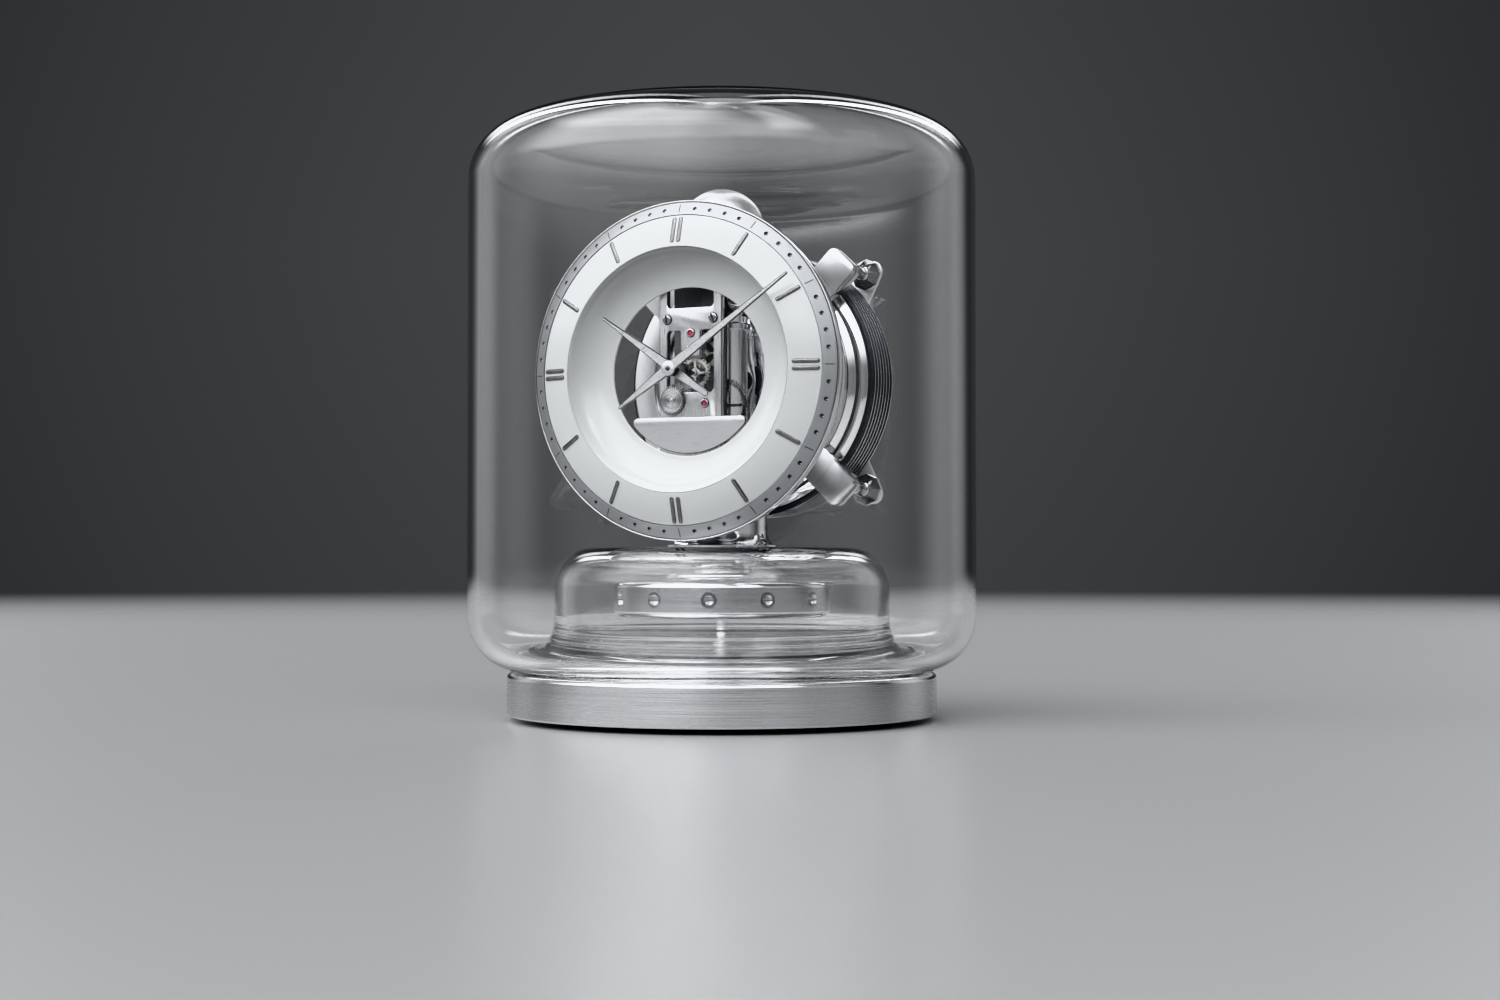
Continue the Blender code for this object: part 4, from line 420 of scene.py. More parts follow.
def turned_metal(name, colour, rough, centre=(0, 0, 0), axis="Z", across=2600.0, along=0.6,
                 bump=0.25, anisotropic=0.5, metallic=1.0):
    made = new_material(name, colour, rough[0], metallic, Anisotropic=anisotropic,
                        Anisotropic_Rotation=0.25)
    grain = grain_round(made, centre, axis, across, along)
    drive(made, grain, *rough, bump)
    tint(made, grain, colour)
    way = node(made, "Tangent", direction_type="RADIAL", axis=axis).outputs[0]
    made.node_tree.links.new(way, made.node_tree.nodes["Principled BSDF"].inputs["Tangent"])
    return made


def brushed_metal(name, colour, rough, scale, bump=0.22):
    made = new_material(name, colour, rough[0], 1.0)
    grain = grain_straight(made, *scale)
    drive(made, grain, *rough, bump)
    return tint(made, grain, colour)


def mirror_metal(name, colour=(0.86, 0.86, 0.87), rough=(0.03, 0.09), scale=60.0, bump=0.03):
    """Polished plating with faint waves and wipe marks."""
    made = new_material(name, colour, rough[0], 1.0)
    return drive(made, grain_straight(made, scale, scale * 1.7, scale * 1.3), *rough, bump,
                 0.0002)


def clear_glass(name, wave, wave_scale):
    """Glass that lets lamps through to what stands inside it."""
    made = new_material(name, (1.0, 1.0, 1.0), 0.0, 0.0, Transmission_Weight=1.0, IOR=1.5)
    nodes, links = made.node_tree.nodes, made.node_tree.links
    shader, output = nodes["Principled BSDF"], nodes["Material Output"]
    swell = grain_straight(made, wave_scale, wave_scale, wave_scale * 2)
    relief = node(made, "Bump", [("Height", swell), ("Strength", wave), ("Distance", 0.0004)])
    links.new(relief.outputs[0], shader.inputs["Normal"])
    see_through = node(made, "BsdfTransparent", [("Color", (0.96, 0.97, 0.97, 1.0))])
    lamp = node(made, "LightPath").outputs["Is Shadow Ray"]
    mixed = node(made, "MixShader", [(0, lamp), (1, shader.outputs[0]),
                                     (2, see_through.outputs[0])])
    links.new(mixed.outputs[0], output.inputs["Surface"])
    return made


def enamel(name, colour, rough, bump):
    """Gloss lacquer with a faint orange peel and a clear coat."""
    made = new_material(name, colour, rough[0], Coat_Weight=0.6, Coat_Roughness=0.06)
    return drive(made, grain_straight(made, 900.0), *rough, bump)


def at_dial(point):
    return Vector((point[0], 0, DIAL_Z + point[1]))


def make_looks():
    dial = DIAL_ORIGIN
    steel, bright = (0.42, 0.42, 0.43), (0.62, 0.62, 0.63)
    looks = {
        "base": turned_metal("base_brushed", (0.58, 0.58, 0.59), (0.18, 0.34), along=1.0,
                             bump=0.45, anisotropic=0.7),
        "base_polished": mirror_metal("base_polished", rough=(0.08, 0.16)),
        "floor": turned_metal("floor_turned", (0.55, 0.55, 0.56), (0.20, 0.34), across=1800.0),
        "mirror": mirror_metal("polished_steel"),
        "tube": mirror_metal("polished_tube", (0.78, 0.78, 0.79), (0.04, 0.08), 30.0, 0.008),
        "bezel": mirror_metal("bezel_polished", (0.60, 0.60, 0.61), (0.06, 0.12)),
        "marker": mirror_metal("marker_polished", (0.17, 0.17, 0.175), (0.08, 0.14), 400.0),
        "edge": mirror_metal("edge_polished", (0.50, 0.50, 0.51), (0.06, 0.12)),
        # Darkened polish for the hand slopes and plaque edges: painted shade
        "painted_shade_edge": mirror_metal("painted_shade_edge", (0.16, 0.16, 0.17), (0.10, 0.18), 400.0),
        "cap": mirror_metal("cap_polished", (0.95, 0.95, 0.96), (0.28, 0.38)),
        # Darker copy of the nut's polish for its flanks: painted shade
        "nut_painted_shade": mirror_metal("nut_painted_shade", (0.20, 0.20, 0.21), (0.02, 0.06)),
        # Darker polish for the cups' walls: painted shade
        "shaded_cup": mirror_metal("cup_painted_shade", (0.34, 0.34, 0.35), (0.03, 0.07)),
        "nut": mirror_metal("nut_polished", (0.60, 0.60, 0.61), (0.02, 0.06)),
        "balance_band": turned_metal("balance_band", (0.50, 0.50, 0.51), (0.14, 0.26), bump=0.2),
        "turned": turned_metal("turned_steel", steel, (0.22, 0.36)),
        "dial_turned": turned_metal("dial_turned", steel, (0.24, 0.38), dial, "Y"),
        "minute_satin": turned_metal("minute_satin", (0.34, 0.345, 0.355), (0.34, 0.44), dial, "Y",
                                     5200.0, 0.6, 0.04, 0.2, 0.75),
        "lacquer": enamel("white_lacquer", (0.94, 0.94, 0.935), (0.16, 0.24), 0.03),
        "drum": turned_metal("drum_dark", (0.035, 0.035, 0.04), (0.20, 0.30), dial, "Y",
                             bump=0.05, anisotropic=0.0),
        # Bright polish on the rib tops only: painted highlight
        "rib_highlight": turned_metal("drum_rib_painted_highlight", (0.80, 0.80, 0.81), (0.10, 0.18), dial, "Y",
                            bump=0.03, anisotropic=0.0),
        "drum_end": turned_metal("drum_end", (0.26, 0.26, 0.27), (0.20, 0.26), dial, "Y",
                                 420.0, 0.1, 0.3),
        "plate": brushed_metal("plate_satin", (0.54, 0.54, 0.55), (0.24, 0.36),
                               (4200.0, 4200.0, 120.0), 0.15),
        "inner_plate": brushed_metal("inner_plate", (0.13, 0.13, 0.135), (0.26, 0.40),
                                     (4200.0, 4200.0, 120.0), 0.15),
        "lug": brushed_metal("lug_brushed", (0.80, 0.80, 0.81), (0.26, 0.38),
                             (3800.0, 160.0, 3800.0)),
        "bridge": brushed_metal("bridge_brushed", steel, (0.22, 0.34),
                                (120.0, 260.0, 4000.0), 0.5),
        "bracket": turned_metal("bracket_turned", bright, (0.20, 0.32), BARREL_ORIGIN, "X"),
        "plaque": brushed_metal("plaque_satin", (0.58, 0.58, 0.59), (0.26, 0.36),
                                (140.0, 4600.0, 4600.0), 0.12),
        "hand": brushed_metal("hand_satin", (0.62, 0.62, 0.63), (0.26, 0.36), (900.0,), 0.03),
        "blued": mirror_metal("dark_steel", (0.09, 0.09, 0.10), (0.16, 0.30), 900.0),
        "dark_marks_and_painted_shade": dark_marks_and_painted_shade(),
        "gilt": turned_metal("wheel_plated", (0.66, 0.65, 0.62), (0.22, 0.36), dial, "Y",
                             2600.0, 4.0),
        "ruby": ruby(),
        "rubber": enamel("foot_rubber", (0.02, 0.02, 0.02), (0.55, 0.75), 0.4),
        "wire": mirror_metal("wire_steel", (0.62, 0.62, 0.63), (0.18, 0.30), 2000.0),
        "dome": clear_glass("dome_crystal", 0.006, 14.0),
        "bell": clear_glass("bell_crystal", 0.012, 30.0),
        "motion": turned_metal("motion_brushed", (0.52, 0.52, 0.53), (0.20, 0.30),
                               at_dial(MOTION_CENTRE), "Y", 5200.0, 0.4, 0.3, 0.85),
    }
    for name, centre, colour, rough in (
            ("third", THIRD_CENTRE, (0.68, 0.67, 0.64), (0.22, 0.36)),
            ("escape", ESCAPE_CENTRE, (0.72, 0.71, 0.70), (0.18, 0.32)),
            ("great", GREAT_CENTRE, (0.30, 0.30, 0.29), (0.20, 0.34))):
        looks[name] = turned_metal(name + "_brushed", colour, rough, at_dial(centre), "Y",
                                   2600.0, 4.0)
    return looks


# Dark steel for the hour dashes, also used as painted shade on cut recesses and under the batons
def dark_marks_and_painted_shade():
    made = new_material("dark_marks_and_painted_shade_steel", (0.05, 0.05, 0.055), 0.3, 0.6)
    return drive(made, grain_straight(made, 1500.0), 0.25, 0.4, 0.1)


def ruby():
    made = new_material("ruby_jewel", (0.50, 0.004, 0.06), 0.05, Transmission_Weight=0.2, IOR=1.76)
    return drive(made, grain_straight(made, 800.0), 0.04, 0.10, 0.02)


LOOKS = make_looks()


# Shapes

def piece(name, mesh, look, body="frame", replaces=()):
    """Make a piece of the clock from a mesh in the model's frame."""
    mesh.name = name
    mesh.shade_smooth()
    mesh.set_sharp_from_angle(angle=SMOOTH_ANGLE)
    if not mesh.materials:
        mesh.materials.append(LOOKS[look])
    made = bpy.data.objects.new(name, mesh)
    scene.collection.objects.link(made)
    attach(made, body)
    if replaces:
        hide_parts(*replaces)
    return made


def arc(centre, radius, start, end, steps):
    angles = [math.radians(start + (end - start) * i / steps) for i in range(steps + 1)]
    return [(centre[0] + radius * math.cos(a), centre[1] + radius * math.sin(a)) for a in angles]


def circle(centre, radius, sides=SMALL_SIDES):
    return arc(centre, radius, 0, 360, sides)[:-1]


def quarter(steps):
    return [math.radians(90 * i / steps) for i in range(steps + 1)]


def washer(inner, outer, low, high):
    return [(inner, low), (outer, low), (outer, high), (inner, high)]


def eased(points, width, steps=3, closed=True):
    """Round the corners of a profile or an outline."""
    least_turn = math.radians(25)
    count = len(points)
    made = []
    for i, here in enumerate(points):
        if not closed and i in (0, count - 1):
            made.append(here)
            continue
        here = Vector(here)
        back = Vector(points[i - 1]) - here
        ahead = Vector(points[(i + 1) % count]) - here
        if min(back.length, ahead.length) < 1e-7 or math.pi - back.angle(ahead) < least_turn:
            made.append(tuple(here))
            continue
        reach = min(width, 0.45 * back.length, 0.45 * ahead.length)
        first = here + back.normalized() * reach
        last = here + ahead.normalized() * reach
        for step in range(steps + 1):
            t = step / steps
            made.append(tuple(first * (1 - t) ** 2 + here * 2 * t * (1 - t) + last * t ** 2))
    return made


def lathe_parts(profile, axis, sides, origin):
    """Vertices and faces of a turned shape; its profile closes on itself or on the axis."""
    spot = {"Z": lambda r, h, c, s: (r * c, r * s, h),
            "Y": lambda r, h, c, s: (r * c, h, r * s),
            "X": lambda r, h, c, s: (h, r * c, r * s)}[axis]
    verts, rings = [], []
    for r, h in profile:
        if r < 1e-9:
            rings.append([len(verts)] * sides)
            verts.append(spot(0, h, 0, 0))
            continue
        rings.append(list(range(len(verts), len(verts) + sides)))
        for i in range(sides):
            a = math.tau * i / sides
            verts.append(spot(r, h, math.cos(a), math.sin(a)))
    faces = []
    pairs = list(zip(rings, rings[1:]))
    if min(r for r, h in profile) > 1e-9:
        pairs.append((rings[-1], rings[0]))
    for low, high in pairs:
        for i in range(sides):
            j = (i + 1) % sides
            corners = [low[i], low[j], high[j], high[i]]
            face = [v for k, v in enumerate(corners) if v != corners[k - 1]]
            if len(face) > 2:
                faces.append(face)
    return [Vector(v) + Vector(origin) for v in verts], faces


def solid(parts):
    """One mesh from (vertices, faces) parts, with its faces turned outwards."""
    bm = bmesh.new()
    for verts, faces in parts:
        made = [bm.verts.new(v) for v in verts]
        for face in faces:
            bm.faces.new([made[i] for i in face])
    bmesh.ops.recalc_face_normals(bm, faces=bm.faces)
    mesh = bpy.data.meshes.new("shape")
    bm.to_mesh(mesh)
    bm.free()
    return mesh


def lathe(profile, axis="Z", origin=(0, 0, 0), sides=SIDES, edge=FINE_EDGE):
    closed = min(r for r, h in profile) > 1e-9
    if edge:
        profile = eased(profile, edge, closed=closed)
    return solid([lathe_parts(profile, axis, sides, origin)])


def ring_faces(count, levels, base=0):
    """Faces between rings of vertices that lie one after another."""
    made = []
    for level in range(levels - 1):
        low = base + level * count
        for i in range(count):
            j = (i + 1) % count
            made.append([low + i, low + j, low + count + j, low + count + i])
    return made


def inset_loop(loop, distance):
    """A loop moved to the left of its direction, its corners kept."""
    points = [Vector(point) for point in loop]
    made = []
    for i, here in enumerate(points):
        back = (here - points[i - 1]).normalized()
        ahead = (points[(i + 1) % len(points)] - here).normalized()
        left = Vector((-ahead.y, ahead.x))
        middle = (Vector((-back.y, back.x)) + left).normalized()
        made.append(here + middle * distance / max(middle.dot(left), 0.5))
    return made


def wound(loop, left):
    """The loop without doubled points, turning left or right round its inside."""
    made = [p for i, p in enumerate(loop) if math.dist(p, loop[i - 1]) > 1e-6]
    area = sum(a[0] * b[1] - b[0] * a[1] for a, b in zip(made, made[1:] + made[:1]))
    return made if (area > 0) == left else made[::-1]


def slab_parts(outline, holes, low, high, plane, origin, edge, turn=0.0):
    """A plate with rounded edges; its outline and holes run in the plane, low to high."""
    spot = {"XZ": lambda u, v, w: Vector((u, w, v)), "XY": lambda u, v, w: Vector((u, v, w)),
            "YZ": lambda u, v, w: Vector((w, u, v))}[plane]
    curve = [(edge * (1 - math.sin(a)), edge * (1 - math.cos(a)))
             for a in (0, math.pi / 4, math.pi / 2)] if edge else [(0, 0)]
    levels = [(inset, low + deep) for inset, deep in curve]
    levels += [(inset, high - deep) for inset, deep in curve[::-1]]
    verts, faces, caps, flat = [], [], ([], []), []
    for loop in [wound(outline, True)] + [wound(hole, False) for hole in holes]:
        count = len(loop)
        base = len(verts)
        for inset, height in levels:
            verts += [spot(u, v, height) for u, v in inset_loop(loop, inset)]
        faces += ring_faces(count, len(levels), base)
        caps[0].extend(range(base, base + count))
        caps[1].extend(range(len(verts) - count, len(verts)))
        flat.append([point.to_3d() for point in inset_loop(loop, levels[0][0])])
    for triangle in tessellate_polygon(flat):
        faces += [[cap[i] for i in triangle] for cap in caps]
    around = {"XZ": "Y", "XY": "Z", "YZ": "X"}[plane]
    place = Matrix.Translation(origin) @ Matrix.Rotation(math.radians(turn), 4, around)
    return [place @ v for v in verts], faces


def slab(outline, low, high, holes=(), plane="XZ", origin=(0, 0, 0), edge=FINE_EDGE):
    return solid([slab_parts(outline, holes, low, high, plane, origin, edge)])


def rounded_box(low, high, corner, steps=6):
    points = []
    for cx, cy, start in ((high[0], high[1], 0), (low[0], high[1], 90),
                          (low[0], low[1], 180), (high[0], low[1], 270)):
        inward_x = corner if cx == low[0] else -corner
        inward_y = corner if cy == low[1] else -corner
        points += arc((cx + inward_x, cy + inward_y), corner, start, start + 90, steps)
    return points


def clock_point(distance, degrees, centre=(0, 0)):
    angle = math.radians(degrees)
    return centre[0] + distance * math.sin(angle), centre[1] + distance * math.cos(angle)


def carve(made, parts, look=None):
    """Cut shapes out of a piece; a look is for the cut faces."""
    mesh = solid(parts)
    if look:
        for name in (None, LOOKS[look]):
            mesh.materials.append(name)
        for face in mesh.polygons:
            face.material_index = 1
        made.data.materials.append(LOOKS[look])
    tool = bpy.data.objects.new("tool", mesh)
    scene.collection.objects.link(tool)
    step = made.modifiers.new("Carve", "BOOLEAN")
    step.operation, step.solver, step.object = "DIFFERENCE", "EXACT", tool
    bpy.context.view_layer.update()
    shown = made.evaluated_get(bpy.context.evaluated_depsgraph_get())
    mesh = bpy.data.meshes.new_from_object(shown)
    made.modifiers.clear()
    made.data = mesh
    bpy.data.objects.remove(tool)
    mesh.shade_smooth()
    mesh.set_sharp_from_angle(angle=SMOOTH_ANGLE)


def ball_parts(centre, radius, segments=20, rings=12):
    profile = [(radius * math.sin(math.pi * i / rings), -radius * math.cos(math.pi * i / rings))
               for i in range(rings + 1)]
    profile[0], profile[-1] = (0, -radius), (0, radius)
    return lathe_parts(profile, "Z", segments, centre)


def paint_edges(mesh, flat, edge, axes=(1,)):
    """Faces square to one of the axes get one look, edges and slopes the other."""
    for look in (flat, edge):
        mesh.materials.append(LOOKS[look])
    for face in mesh.polygons:
        square = max(abs(face.normal[axis]) for axis in axes) > 0.98
        face.material_index = 0 if square else 1


def paint_faces(mesh, looks, choose):
    """Give each face the look that choose(centre) names."""
    for look in looks:
        mesh.materials.append(LOOKS[look])
    for face in mesh.polygons:
        face.material_index = looks.index(choose(face.center))


# Base and glass

def make_base():
    rim_low = BASE_TOP - BASE_RIM_HEIGHT
    shelf = BASE_LOW + COVER_THICKNESS + GAP
    rim = [(BASE_RADIUS - BASE_RIM_WIDTH + BASE_RIM_WIDTH * math.cos(a),
            rim_low + BASE_RIM_HEIGHT * math.sin(a)) for a in quarter(12)]
    mesh = lathe([(COVER_RADIUS + GAP, BASE_LOW), (BASE_RADIUS - BASE_CHAMFER, BASE_LOW),
                  (BASE_RADIUS, BASE_LOW + BASE_CHAMFER)] + rim
                 + [(BASE_BORE, BASE_TOP), (BASE_BORE, shelf), (COVER_RADIUS + GAP, shelf)],
                 sides=2 * SIDES, edge=0.12 * MM)
    band = (BASE_LOW + BASE_CHAMFER, rim_low)
    paint_faces(mesh, ["base", "base_polished"],
                lambda c: "base" if band[0] < c.z < band[1] else "base_polished")
    piece("clock_base", mesh, None, replaces=["base_ring"])
    bore = LOCK_PIN_RADIUS + GAP
    piece("clock_floor", lathe(washer(bore, BASE_BORE - GAP, shelf, FLOOR_TOP), edge=1.2 * MM),
          "floor", replaces=["floor_plate"])


def make_glass():
    inner_fillet = DOME_FILLET - DOME_WALL
    top = (DOME_RADIUS - DOME_FILLET, DOME_TOP - DOME_FILLET)
    low = (DOME_RADIUS - DOME_FILLET, GLASS_LOW + DOME_FILLET)
    outside = arc(top, DOME_FILLET, 90, 0, 28) + arc(low, DOME_FILLET, 0, -90, 28)
    inside = arc(low, inner_fillet, -90, 0, 24) + arc(top, inner_fillet, 0, 90, 24)
    lip = eased([outside[-1], (DOME_LIP_INNER, GLASS_LOW),
                 (DOME_LIP_INNER, GLASS_LOW + DOME_WALL), inside[0]], 1.2 * MM, 5, closed=False)
    piece("dome", lathe([(0, DOME_TOP)] + outside + lip[1:-1] + inside
                        + [(0, DOME_TOP - DOME_WALL)], sides=2 * SIDES, edge=0),
          "dome", "dome", ["glass_dome"])

    skirt = BELL_RADIUS + BELL_FLARE_WIDTH
    inner = BELL_RADIUS - BELL_WALL
    inner_skirt = skirt - BELL_SKIRT_WIDTH
    steps = 44
    flare, inner_flare = [], []
    for i in range(steps + 1):
        share = i / steps
        a = math.radians(90 * share)
        swell = RIPPLE_DEPTH * math.sin(math.tau * RIPPLES * share) * math.sin(math.pi * share)
        flare.append((BELL_RADIUS + BELL_FLARE_WIDTH * (1 - math.cos(a)) + swell / 2,
                      BELL_FLARE_TOP - BELL_FLARE_HEIGHT * math.sin(a)))
        inner_flare.append((
            inner + (inner_skirt - inner) * (1 - math.cos(a)) + swell,
            BELL_FLARE_TOP - BELL_WALL - (BELL_FLARE_HEIGHT - BELL_WALL) * math.sin(a)))
    shoulder = (BELL_RADIUS - BELL_CORNER, BELL_TOP - BELL_CORNER)
    foot = eased([flare[-1], (skirt, GLASS_LOW), (inner_skirt, GLASS_LOW), inner_flare[-1]],
                 1.0 * MM, 4, closed=False)
    profile = [(BELL_HOLE, BELL_TOP)] + arc(shoulder, BELL_CORNER, 90, 0, 24) + flare
    profile += foot[1:-1] + inner_flare[::-1]
    profile += arc(shoulder, BELL_CORNER - BELL_WALL, 0, 90, 20)
    profile += [(BELL_HOLE, BELL_TOP - BELL_WALL)]
    piece("pedestal", lathe(profile, sides=2 * SIDES, edge=0), "bell",
          replaces=["glass_pedestal"])


# Column and balance

def make_column():
    seat, spigot, bore = BELL_TOP + GAP, BELL_HOLE - GAP, TUBE_RADIUS + GAP
    flare = [(NECK_RADIUS + (FLANGE_RADIUS - NECK_RADIUS) * (1 - math.sin(a)),
              seat + BASE_CHAMFER + NECK_FLARE_HEIGHT * (1 - math.cos(a))) for a in quarter(16)]
    piece("neck", lathe([(NECK_BORE, SPIGOT_LOW), (spigot, SPIGOT_LOW), (spigot, seat),
                         (FLANGE_RADIUS, seat)] + flare + [
        (NECK_RADIUS, NECK_TOP), (bore, NECK_TOP), (bore, TUBE_SOCKET),
        (NECK_BORE, TUBE_SOCKET)]), "mirror", replaces=["column_foot"])
    ceiling = BELL_TOP - BELL_WALL - GAP
    low, high = CLAMP_MIDDLE - CLAMP_HALF, CLAMP_MIDDLE + CLAMP_HALF
    rim = arc((FLANGE_RADIUS - CLAMP_HALF, CLAMP_MIDDLE), CLAMP_HALF, -90, 90, 16)
    piece("clamp_disc", lathe([(BELL_HOLE, low)] + rim + [
        (CLAMP_COLLAR, high), (CLAMP_COLLAR, ceiling), (BELL_HOLE, ceiling)]), "mirror",
        replaces=["pedestal_clamp"])
    inner = TUBE_RADIUS - TUBE_WALL
    piece("tube", lathe([
        (inner, TUBE_LOW), (TUBE_RADIUS, TUBE_LOW), (TUBE_RADIUS, TUBE_BAND[0]),
        (TUBE_BAND_RADIUS, TUBE_BAND[0]), (TUBE_BAND_RADIUS, TUBE_BAND[1]),
        (TUBE_RADIUS, TUBE_BAND[1]), (TUBE_RADIUS, TUBE_TOP), (inner, TUBE_TOP)]),
        "tube", replaces=["suspension_tube"])
    shoulder = CAP_TOP - CAP_DOME_HEIGHT
    crown = [(CAP_RADIUS * math.sin(a), shoulder + CAP_DOME_HEIGHT * math.cos(a))
             for a in quarter(24)]
    crown[0] = (0, CAP_TOP)
    cap = piece("cap", lathe(crown + [
        (CAP_RADIUS, CAP_LOW), (bore, CAP_LOW), (bore, shoulder), (CAP_BORE, shoulder),
        (CAP_BORE, CAP_CEILING), (0, CAP_CEILING)]), "cap", replaces=["top_cap"])
    carve(cap, [ball_parts(CAP_PINHOLE, CAP_PINHOLE_RADIUS)])


def make_balance():
    edge = BALANCE_EDGE
    mid = (BALANCE_LOW + BALANCE_HIGH) / 2
    out = BALANCE_RADIUS + CUP_SET_OUT
    corners = []
    for r, h, start in ((BALANCE_RADIUS - edge, BALANCE_LOW + edge, -90),
                        (BALANCE_RADIUS - edge, BALANCE_HIGH - edge, 0),
                        (BALANCE_INNER + edge, BALANCE_HIGH - edge, 90),
                        (BALANCE_INNER + edge, BALANCE_LOW + edge, 180)):
        corners += arc((r, h), edge, start, start + 90, 8)
    band = (BALANCE_LOW + edge, BALANCE_HIGH - edge)
    limit = BALANCE_RADIUS - 0.1 * MM

    def choose(c):
        outside = math.hypot(c.x, c.y) > limit
        return "balance_band" if outside and band[0] < c.z < band[1] else "mirror"
    mesh = lathe(corners, edge=0)
    paint_faces(mesh, ["mirror", "balance_band"], choose)
    ring = piece("balance", mesh, None, "balance", ["balance_ring"])
    turns = [math.radians(CUP_PHASE + 360 * i / CUP_COUNT) for i in range(CUP_COUNT)]
    # The cups' walls get painted shade
    carve(ring, [ball_parts((out * math.sin(a), -out * math.cos(a), mid), CUP_RADIUS, 32, 24)
                 for a in turns], "shaded_cup")


# Dial

def bowl_point(share):
    angle = math.radians(90 * share)
    return (OPENING_RADIUS + (CREST_RADIUS - OPENING_RADIUS) * math.cos(angle),
            CREST_Y + (OPENING_Y - CREST_Y) * math.sin(angle))


def chapter_y(radius):
    share = (CHAPTER_OUTER - radius) / (CHAPTER_OUTER - CREST_RADIUS)
    return CHAPTER_OUTER_Y + (CREST_Y - CHAPTER_OUTER_Y) * share


def dial_lathe(profile, sides=2 * SIDES, edge=FINE_EDGE):
    return lathe(profile, "Y", DIAL_ORIGIN, sides, edge)


def make_dial():
    seat = BEZEL_SEAT - GAP
    crest_back = CREST_Y + DIAL_SHEET
    piece("chapter", dial_lathe([
        (CHAPTER_OUTER, seat), (CHAPTER_OUTER, CHAPTER_OUTER_Y), (CREST_RADIUS, CREST_Y),
        (CREST_RADIUS, crest_back), (BEZEL_INNER, chapter_y(BEZEL_INNER) + DIAL_SHEET),
        (BEZEL_INNER, seat)]), "lacquer", replaces=["chapter_ring"])
    bowl = [bowl_point(i / 32) for i in range(33)]
    outer = BEZEL_INNER - GAP
    under = chapter_y(outer) + DIAL_SHEET + GAP
    back = [(r + DIAL_SHEET, y + DIAL_SHEET) for r, y in bowl[4:-2]]
    rim = CREST_RADIUS - GAP
    piece("bowl", dial_lathe([(rim, CREST_Y)] + bowl[3:] + [
        (OPENING_RADIUS, OPENING_Y + DIAL_SHEET)] + back[::-1] + [
        (outer, under + DIAL_SHEET), (outer, under), (rim, crest_back + GAP)], edge=0.3 * MM),
        "lacquer", replaces=["dial_bowl"])
    lip = BEZEL_RADIUS - BEZEL_LIP
    piece("dial_bezel", dial_lathe([
        (BEZEL_INNER, BEZEL_BACK), (BEZEL_RADIUS, BEZEL_BACK), (BEZEL_RADIUS, BEZEL_FRONT),
        (lip, BEZEL_FRONT), (lip, BEZEL_SEAT), (BEZEL_INNER, BEZEL_SEAT)], edge=0.9 * MM),
        "bezel", replaces=["bezel"])
    ring = piece("minute_track", dial_lathe([
        (MINUTE_INNER, seat), (MINUTE_INNER, MINUTE_FRONT), (lip - GAP, BEZEL_FRONT),
        (lip - GAP, seat)], edge=0.1 * MM), "minute_satin", replaces=["minute_ring"])
    slope = (BEZEL_FRONT - MINUTE_FRONT) / (lip - GAP - MINUTE_INNER)
    dot_y = MINUTE_FRONT + slope * (DOT_CIRCLE - MINUTE_INNER)
    dots, highlight_pins = [], []
    for minute in range(60):
        if minute % 5:
            x, z = clock_point(DOT_CIRCLE, 6 * minute)
            dots.append(ball_parts((x, dot_y - DOT_LIFT, DIAL_Z + z), DOT_RADIUS, 16, 10))
            spot = (x + HIGHLIGHT_PIN_OFFSET[0], dot_y + HIGHLIGHT_PIN_OFFSET[1], DIAL_Z + z + HIGHLIGHT_PIN_OFFSET[2])
            highlight_pins.append(ball_parts(spot, HIGHLIGHT_PIN_RADIUS, 12, 8))
    # The dimples' walls are painted dark as shade, and a bright ball in each one is a placed
    # highlight
    carve(ring, dots, "dark_marks_and_painted_shade")
    piece("minute_dot_highlights", solid(highlight_pins), "mirror")
    tilt = math.degrees(math.atan(slope))
    dash_y = MINUTE_FRONT + slope * ((DASH_INNER + DASH_OUTER) / 2 - MINUTE_INNER)
    dashes = [raised_bar(0, (DASH_INNER, DASH_OUTER), DASH_WIDTH, DASH_RISE, 30 * hour, dash_y,
                         tilt) for hour in range(12)]
    piece("hour_dashes", solid(dashes), "dark_marks_and_painted_shade")
    make_batons()
    piece("dial_mount", dial_lathe(washer(FRAME_INNER, FRAME_OUTER, BEZEL_BACK + GAP,
                                          FRAME_BACK)), "dial_turned", replaces=["dial_frame"])


def raised_bar(offset, span, width, rise, degrees, y, tilt):
    """A round-ended bar with a ridge, laid on the dial along a direction from its centre."""
    half, middle = width / 2, (span[0] + span[1]) / 2
    outline = arc((offset, span[1] - half), half, 0, 180, 8)
    outline += arc((offset, span[0] + half), half, 180, 360, 8)
    ridge = [(offset, span[1] - half * 1.2), (offset, span[0] + half * 1.2)]
    count = len(outline)
    verts = [Vector((u, BAR_SINK, v - middle)) for u, v in outline]
    verts += [Vector((u, -rise * BAR_SIDE, v - middle)) for u, v in outline]
    inset = [(offset + (u - offset) * BAR_TOP[0], middle + (v - middle) * BAR_TOP[1])
             for u, v in outline]
    verts += [Vector((u, -rise * BAR_SHOULDER, v - middle)) for u, v in inset]
    verts += [Vector((u, -rise, v - middle)) for u, v in ridge]
    faces = [list(range(count))] + ring_faces(count, 3)
    top, bottom = 3 * count, 3 * count + 1
    half_count = count // 2
    ring = [2 * count + i for i in range(count)]
    for i in range(count):
        j = (i + 1) % count
        near_top, next_top = i < half_count, j < half_count
        tip = top if near_top else bottom
        if near_top == next_top:
            faces.append([ring[i], ring[j], tip])
        else:
            faces.append([ring[i], ring[j], bottom if near_top else top, tip])
    turn = Matrix.Rotation(math.radians(degrees), 4, "Y")
    lean = Matrix.Rotation(math.radians(-tilt), 4, "X")
    lift = Matrix.Translation((0, y, middle))
    place = Matrix.Translation(DIAL_ORIGIN) @ turn @ lift @ lean
    return [place @ v for v in verts], faces


